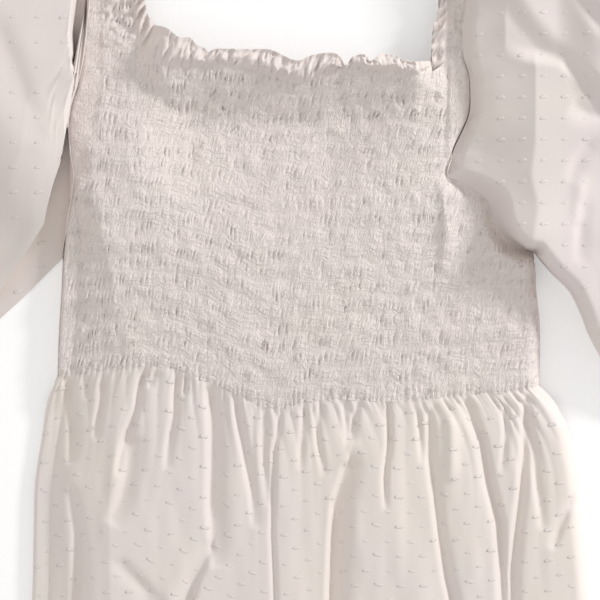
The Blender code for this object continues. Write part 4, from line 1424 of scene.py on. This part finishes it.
def make_back_frill():
    """Plain frilled heading above the back neck."""
    count, rows = BACK_FRILL_GRID
    shares = np.linspace(BACK_FRILL_START, FRILL_END, count)
    lower = neck_points(NECK_BACK, NECK_STOPS_BACK, shares)
    upper = np.stack([lower[:, 0], table_value(FRILL_BACK, lower[:, 0])], axis=-1)
    plan, x, v = frill_plan(lower, upper, rows)
    waves = np.sin(2 * math.pi * (x / BACK_FRILL_PITCH + uneven(x, MIDLINE, BACK_FRILL_SWAY)))
    points = with_height(plan, BACK_FRILL_HEIGHT * v * (1 + waves))
    piece = cloth_sheet("neck_frill_back", points, FRILLING, plan * MM, outward=False)
    place(piece)


# Sleeves

# Columns of a sleeve's upper layer, of its fold and of the flat cloth under the left lip
SLEEVE_COLUMNS = 126
SLEEVE_FOLD_COLUMNS = 9
UNDER_COLUMNS = {"left": 16, "right": 2}
SPREAD_PUFF_STEPS = 0.6
# Stations from armhole to cuff, closer together near the armhole
NEAR_STATIONS = 104
FAR_STATIONS = 34
NEAR_STATION_EVEN = 0.35
LIP_SEARCH_STEPS = 240
LIP_SEARCH_START = 0.3
SCOOP_STEPS = 40
UNDERARM_SHARE = 0.594
BULGE_EASE_POWER = 8
# Length and width of a sleeve, for waves that run with its seams
SLEEVE_LENGTH = 330
SEAM_RUN = 300
HEAD_GATHER_REACH = 14
HEAD_GATHER_START = (0, 3)
CUFF_GATHER_REACH = 40
SLEEVE_WAVE_START = (0, 0.1)
SLEEVE_ENDS_FADE = (0, 0.02)
SLEEVE_SIDES_FADE = (0, 0.06)
LIP_RELIEF_FADE = (2, 14)
LEFT_MAP_SCALE = 0.85
CUFF_ROWS = 10
SLEEVE_DASHES = {"turn": 0.0, "tilt": 0.2, "seed": 5, "count": 110}


def lower_run(side):
    """The sleeve's lower edge; on the right it starts in the corner of the armhole."""
    free = edge_points(SLEEVES[side]["lower"], np.linspace(0, 1, EDGE_STEPS))
    if side == "left":
        return free
    return np.concatenate([edge_points(SCOOP, np.linspace(0, 1, SCOOP_STEPS)), free[1:]])


def run_length(run):
    """Length of a run of points up to each of them."""
    return np.concatenate([[0.0], np.cumsum(np.linalg.norm(np.diff(run, axis=0), axis=1))])


def along_run(run, shares):
    """Points at shares of the length of a run of points."""
    knots = run_length(run) / run_length(run)[-1]
    return np.stack([np.interp(shares, knots, run[:, k]) for k in (0, 1)], axis=-1)


def armhole_points(side):
    """The armhole seam from the underarm up to the shoulder, finely."""
    if side == "left":
        parts = [edge_points(LEFT_LOW, np.linspace(UNDERARM_SHARE, 1, EDGE_STEPS)),
                 edge_points(LEFT_HIGH, np.linspace(0, 1, EDGE_STEPS))[1:]]
    else:
        parts = [edge_points(SCOOP, np.linspace(1, 0, EDGE_STEPS)),
                 edge_points(RIGHT_HIGH, np.linspace(0, 1, EDGE_STEPS))[1:]]
    parts.append(edge_points(STRAPS[side]["outer"], np.linspace(0, 1, SCOOP_STEPS))[1:])
    return np.concatenate(parts)


def lip_share(plan_at):
    """Share round the left sleeve's front where the puff's lower edge lies, if it is there."""
    shares = np.linspace(LIP_SEARCH_START, 1, LIP_SEARCH_STEPS)
    past_lip = past_path(plan_at(shares), PUFF_LIP)
    crossed = np.nonzero((past_lip[1:] > 0) & (past_lip[:-1] <= 0))[0]
    if not len(crossed):
        return None
    i = crossed[0]
    part = -past_lip[i] / (past_lip[i + 1] - past_lip[i])
    return shares[i] + part * (shares[i + 1] - shares[i])


def past_groove(plan, from_seam):
    """Distance past the low floor between the left strap and the puff."""
    return from_seam - (GROOVE_NARROW + GROOVE_WIDER * soft_step(*GROOVE_WIDENING, plan[..., 1]))


def left_puff_height(plan, from_seam, from_top, from_cuff, under_lip):
    """Height of the left sleeve: a full puff with a sharp lip over flat underarm cloth."""
    y = plan[..., 1]
    from_lip = path_distance(plan, PUFF_LIP)
    swell = ((LEFT_LIP_SHARE + (1 - LEFT_LIP_SHARE) * np.clip(from_lip / LEFT_LIP_ROUND, 0, 1))
             * rounded(from_top, PUFF_TOP_ROUND))
    share = table_value(LEFT_FULLNESS, from_cuff)
    body = UNDER_CLOTH + (PUFF_HEIGHT * share - UNDER_CLOTH) * swell
    body = np.where(under_lip, UNDER_CLOTH + UNDER_CLOTH_RISE * from_lip, body)
    past_floor = past_groove(plan, from_seam)
    body = body * (LEFT_SEAM_FULLNESS + (1 - LEFT_SEAM_FULLNESS)
                   * np.clip(past_floor / LEFT_SEAM_REACH, 0, 1))
    seam_height = line_value(RIM_LEFT, y)
    sunk = soft_step(0, 2, from_seam) * soft_step(*GROOVE_LENGTH, y)
    seam_height = seam_height + (GROOVE_FLOOR - seam_height) * sunk
    wall = GROOVE_WALL + GROOVE_WALL_MORE * soft_step(*GROOVE_WALL_STRETCH, y)
    rise = soft_step(0, 1, past_floor / wall)
    return seam_height * (1 - rise) + body * rise


def right_puff_height(plan, from_seam, from_top, from_cuff):
    """Height of the right sleeve: a shelf, a flat patch and a crest past the ridge."""
    x, y = plan[..., 0], plan[..., 1]
    wander = uneven(y, MIDLINE, PATCH_WANDER)
    ramp = np.clip((x - RIGHT_PATCH_START + wander) / RIGHT_PATCH_WIDTH, 0, 1)
    patch = RIGHT_SHELF + (RIGHT_PATCH - RIGHT_SHELF) * ramp
    patch = patch + (CORNER_LIFT * (1 - soft_step(*CORNER_LIFT_TOP, y))
                     * soft_step(*CORNER_LIFT_START, x))
    ground = np.minimum(patch, RIGHT_GROUND + GROUND_RISE * soft_step(*GROUND_RISE_STRETCH, x))
    level = patch + (ground - patch) * soft_step(*PATCH_TOP_FALL, past_path(plan, PATCH_TOP))
    crest = RIGHT_CREST + CREST_RISE * soft_step(*CREST_RISE_STRETCH, x)
    level = level + (crest - level) * soft_step(*RIDGE_SLOPE, past_path(plan, RIGHT_RIDGE))
    narrowing = 1 - np.clip(from_cuff / CUFF_REACH, 0, 1)
    share = CUFF_SHARE + (1 - CUFF_SHARE) * (1 - narrowing ** CUFF_ROUNDING)
    from_low = edge_distance(plan, SLEEVES["right"]["lower"])
    turned = LIP_SHARE + (1 - LIP_SHARE) * rounded(from_low, LIP_ROUND)
    body = (SLEEVE_EDGE + (level * share - SLEEVE_EDGE) * turned
            * rounded(from_top, PUFF_TOP_ROUND))
    reach = RIGHT_RISE + CORNER_RISE_MORE * (1 - soft_step(*CORNER_RISE_STRETCH, y))
    reach = reach + (OUTER_RISE - reach) * soft_step(*OUTER_RISE_STRETCH, x)
    rise = soft_step(0, 1, from_seam / reach)
    return line_value(RIM_RIGHT, y) * (1 - rise) + body * rise


def front_height(side, plan, under_lip):
    """Height of the sleeve's upper layer over its plan."""
    table = SLEEVES[side]
    from_seam = path_distance(plan, armhole_points(side)[::SEAM_SKIP])
    from_top = edge_distance(plan, table["upper"])
    from_cuff = (np.array(table["upper"][-1]) - plan) @ np.array(table["cuff_out"])
    if side == "left":
        return left_puff_height(plan, from_seam, from_top, from_cuff, under_lip)
    return right_puff_height(plan, from_seam, from_top, from_cuff)


def hung_over(plan, seam):
    """Plan of the left sleeve with its puff's edge moved out over the groove by the strap."""
    from_seam = path_distance(plan, seam[::SEAM_SKIP])
    past_floor = past_groove(plan, from_seam)
    near, far = GROOVE_HANG_SPREAD
    out = GROOVE_HANG * np.tanh(past_floor / near) * np.exp(-np.abs(past_floor) / far)
    out *= soft_step(*GROOVE_HANG_LENGTH, plan[..., 1]) * soft_step(0, 3, from_seam)
    return np.stack([plan[..., 0] + out, plan[..., 1]], axis=-1)


def upper_layer(side, stations, upper, lower, seam):
    """Plan and height of a sleeve's upper layer, from the lower edge round to the upper one."""
    length = run_length(seam)
    under_count = UNDER_COLUMNS[side]
    puff_steps = np.linspace(0, 1, SLEEVE_COLUMNS - under_count)
    puff_steps = ((1 - SPREAD_PUFF_STEPS) * puff_steps
                  + SPREAD_PUFF_STEPS * (1 - np.cos(puff_steps * math.pi)) / 2)
    plans, under_lip, lip = [], [], 1.0
    for s, top, bottom in zip(stations, upper, lower):
        top_bulge = top - (1 - s) * upper[0] - s * upper[-1]
        bottom_bulge = bottom - (1 - s) * lower[0] - s * lower[-1]
        ease = 1 + (UNDERARM_EASE * (1 - s) ** BULGE_EASE_POWER if side == "left" else 0)

        def plan_at(share):
            t = share[:, None]
            at = (1 - share) * length[-1]
            start = np.stack([np.interp(at, length, seam[:, 0]),
                              np.interp(at, length, seam[:, 1])], axis=-1)
            cuff = upper[-1] * (1 - t) + lower[-1] * t
            return ((1 - s) * start + s * cuff + (1 - t ** ease) * top_bulge
                    + t ** ease * bottom_bulge)

        lip = (lip_share(plan_at) or lip) if side == "left" else 1.0
        lip_now = lip + (1 - lip) * soft_step(*LIP_CLOSE, s)
        tuck = 0
        if side == "left":
            tuck = LIP_TUCK / np.linalg.norm(top - bottom) * (1 - soft_step(*LIP_TUCK_END, s))
        under = np.linspace(1, lip_now - tuck, under_count, endpoint=side == "left")
        share = np.concatenate([under, lip_now * puff_steps[::-1]])
        plans.append(plan_at(share))
        under_lip.append(np.arange(len(share)) < len(under))
    plans = np.array(plans)
    heights = front_height(side, plans, np.array(under_lip))
    return (hung_over(plans, seam) if side == "left" else plans), heights


def sleeve_rings(side, stations):
    """Rings of a puff sleeve, from its armhole to its cuff."""
    seam = armhole_points(side)
    if side == "right":
        seam = seam[EDGE_STEPS - 1:]
    upper = edge_points(SLEEVES[side]["upper"], stations)
    lower = along_run(lower_run(side), stations)
    plans, heights = upper_layer(side, stations, upper, lower, seam)
    angles = np.arange(1, SLEEVE_FOLD_COLUMNS) / SLEEVE_FOLD_COLUMNS * math.pi
    rings = []
    for plan, height, top, bottom in zip(plans, heights, upper, lower):
        radius = height[-1] / 2
        outward = (top - bottom) / np.linalg.norm(top - bottom)
        fold = [(*(top + outward * radius * math.sin(a)), radius + radius * math.cos(a))
                for a in angles]
        front = np.concatenate([plan, height[:, None]], axis=1)
        behind = plan[::-3]
        back = np.concatenate([behind, np.zeros((len(behind), 1))], axis=1)
        rings.append(np.concatenate([front, fold, back, front[:1]]))
    return np.array(rings)


def sleeve_relief(side, plan, stations):
    """Folds of a sleeve's upper layer, and its gathers at the armhole and at the cuff."""
    s = stations[:, None]
    share = np.linspace(1, 0, SLEEVE_COLUMNS)[None, :]
    seam_run = share * SEAM_RUN
    from_head = s * SLEEVE_LENGTH
    relief = fold_relief(plan, SLEEVE_FOLDS[side])
    relief += uneven(plan[..., 0], plan[..., 1], SLEEVE_WAVES) * soft_step(*SLEEVE_WAVE_START, s)
    relief += (np.exp(-from_head / HEAD_GATHER_REACH) * soft_step(*HEAD_GATHER_START, from_head)
               * uneven(seam_run, from_head, SLEEVE_HEAD_GATHERS))
    relief += (np.exp(-(1 - s) * SLEEVE_LENGTH / CUFF_GATHER_REACH)
               * uneven(seam_run, MIDLINE, CUFF_GATHERS))
    relief *= (soft_step(*SLEEVE_ENDS_FADE, s)
               * soft_step(*SLEEVE_SIDES_FADE, np.minimum(share, 1 - share)))
    if side == "left":
        inside_lip = np.maximum(-past_path(plan, PUFF_LIP), 0)
        relief *= soft_step(*LIP_RELIEF_FADE, inside_lip)
    return relief


def sleeve_map(side, rings):
    """Flat-cloth map of a sleeve, unrolled over its upper edge."""
    top = rings[:, SLEEVE_COLUMNS - 1:SLEEVE_COLUMNS, :2]
    fold_end = SLEEVE_COLUMNS + SLEEVE_FOLD_COLUMNS - 1
    cloth_map = rings[..., :2].copy()
    cloth_map[:, SLEEVE_COLUMNS:fold_end] = top
    cloth_map[:, fold_end:] = 2 * top - cloth_map[:, fold_end:]
    if side == "left":
        cloth_map *= LEFT_MAP_SCALE
    return cloth_map * MM


def make_cuff(side, end, outward):
    """Narrow elastic cuff that carries the sleeve's last ring on."""
    out = np.array([*SLEEVES[side]["cuff_out"], 0.0]) * CUFF_DEPTH
    cuff = np.array([end + out * share for share in np.linspace(0, 1, CUFF_ROWS)])
    piece = cloth_sheet("cuff_" + side, cuff, SLEEVING, cuff[..., :2] * MM, closed=True,
                        outward=outward)
    place(piece)


def make_sleeves():
    """Both puff sleeves, pressed flat below and full above, with their cuffs."""
    near = np.linspace(0, 1, NEAR_STATIONS)
    near = 0.5 * (NEAR_STATION_EVEN * near + (1 - NEAR_STATION_EVEN) * near ** 2)
    stations = np.concatenate([near, np.linspace(0.5, 1, FAR_STATIONS)[1:]])
    for side in ("left", "right"):
        rings = sleeve_rings(side, stations)
        relief = sleeve_relief(side, rings[:, :SLEEVE_COLUMNS, :2], stations)
        normals = sheet_normals(rings, closed=True)[:, :SLEEVE_COLUMNS]
        outward = normals[..., 2].mean() > 0
        rings[:, :SLEEVE_COLUMNS] += normals * (1 if outward else -1) * relief[..., None]
        rings[..., 2] = np.maximum(rings[..., 2], 0)
        rings[:, -1] = rings[:, 0]
        keep = np.ones((rings.shape[0] - 1, rings.shape[1] - 1), bool)
        if side == "right":
            run = run_length(lower_run(side))
            keep[stations[1:] < run[SCOOP_STEPS - 1] / run[-1], -1] = False
        piece = cloth_sheet("sleeve_" + side, rings, SLEEVING, sleeve_map(side, rings),
                            keep=keep, closed=True, outward=outward, crisp=True)
        dashes = weave_dashes(piece, "sleeve_" + side + "_dashes", **SLEEVE_DASHES)
        place(piece)
        make_cuff(side, rings[-1], outward)


# Surface, lights and camera, in metres

PHOTO_WIDTH = 0.441
PHOTO_CENTRE = (0.0, 0.0757)
CAMERA_ABOVE = 3.0
CLOTH_LEVEL = 0.018
SENSOR_WIDTH = 36.0
FLOOR_REACH = 4.0
FLOOR_LEVEL = -0.0003
FLOOR_TONE = (0.78, 0.78, 0.78, 1)
FLOOR_GLOW = 0.28
ROOM_TONE = (1, 0.985, 0.97, 1)
ROOM_STRENGTH = 0.74
# The lamp beyond the right shoulder: towards it in plan, its elevation, distance, size, watts
LAMP_TOWARDS = (0.84, 0.54)
LAMP_ELEVATION = 22
LAMP_DISTANCE = 2.2
LAMP_SIZE = 0.3
LAMP_WATTS = 30
DRESS_MIDDLE = (0, 0.05, 0)


def make_stage():
    """Plain pale floor under the dress."""
    mesh = bpy.data.meshes.new("floor")
    corners = [(-1, -1), (1, -1), (1, 1), (-1, 1)]
    mesh.from_pydata([(x * FLOOR_REACH, y * FLOOR_REACH, FLOOR_LEVEL) for x, y in corners],
                     [], [(0, 1, 2, 3)])
    floor = bpy.data.objects.new("floor", mesh)
    bpy.context.scene.collection.objects.link(floor)
    material = bpy.data.materials.new("pale floor")
    material.use_nodes = True
    shader = material.node_tree.nodes["Principled BSDF"]
    shader.inputs["Base Color"].default_value = FLOOR_TONE
    shader.inputs["Emission Color"].default_value = (1, 1, 1, 1)
    shader.inputs["Emission Strength"].default_value = FLOOR_GLOW
    shader.inputs["Roughness"].default_value = 0.9
    mesh.materials.append(material)


def make_lamp():
    """A small low lamp beyond the right shoulder, facing the middle of the dress."""
    flat = Vector((*LAMP_TOWARDS, 0)).normalized()
    angle = math.radians(LAMP_ELEVATION)
    away = Vector((flat.x * math.cos(angle), flat.y * math.cos(angle), math.sin(angle)))
    light = bpy.data.lights.new("right lamp", "AREA")
    light.size = LAMP_SIZE
    light.energy = LAMP_WATTS
    lamp = bpy.data.objects.new("right lamp", light)
    lamp.location = Vector(DRESS_MIDDLE) + away * LAMP_DISTANCE
    lamp.rotation_euler = (-away).to_track_quat("-Z", "Y").to_euler()
    bpy.context.scene.collection.objects.link(lamp)


def make_room():
    """Soft light from all round."""
    world = bpy.data.worlds.new("soft room")
    bpy.context.scene.world = world
    world.use_nodes = True
    world.node_tree.nodes["Background"].inputs["Color"].default_value = ROOM_TONE
    world.node_tree.nodes["Background"].inputs["Strength"].default_value = ROOM_STRENGTH


def make_camera():
    """Camera straight above, framed as the photograph is."""
    camera = bpy.data.objects.new("camera", bpy.data.cameras.new("camera"))
    camera.data.sensor_width = SENSOR_WIDTH
    camera.data.lens = SENSOR_WIDTH * (CAMERA_ABOVE - CLOTH_LEVEL) / PHOTO_WIDTH
    camera.location = (*PHOTO_CENTRE, CAMERA_ABOVE)
    camera.data.clip_end = 100
    bpy.context.scene.collection.objects.link(camera)
    bpy.context.scene.camera = camera


make_camera()
front_waist, front_neck = make_bodice()
make_skirt(front_waist)
make_straps(front_neck)
make_front_frill(front_neck)
make_back_frill()
make_sleeves()
make_stage()
make_room()
make_lamp()
bpy.context.scene.view_settings.view_transform = "Standard"
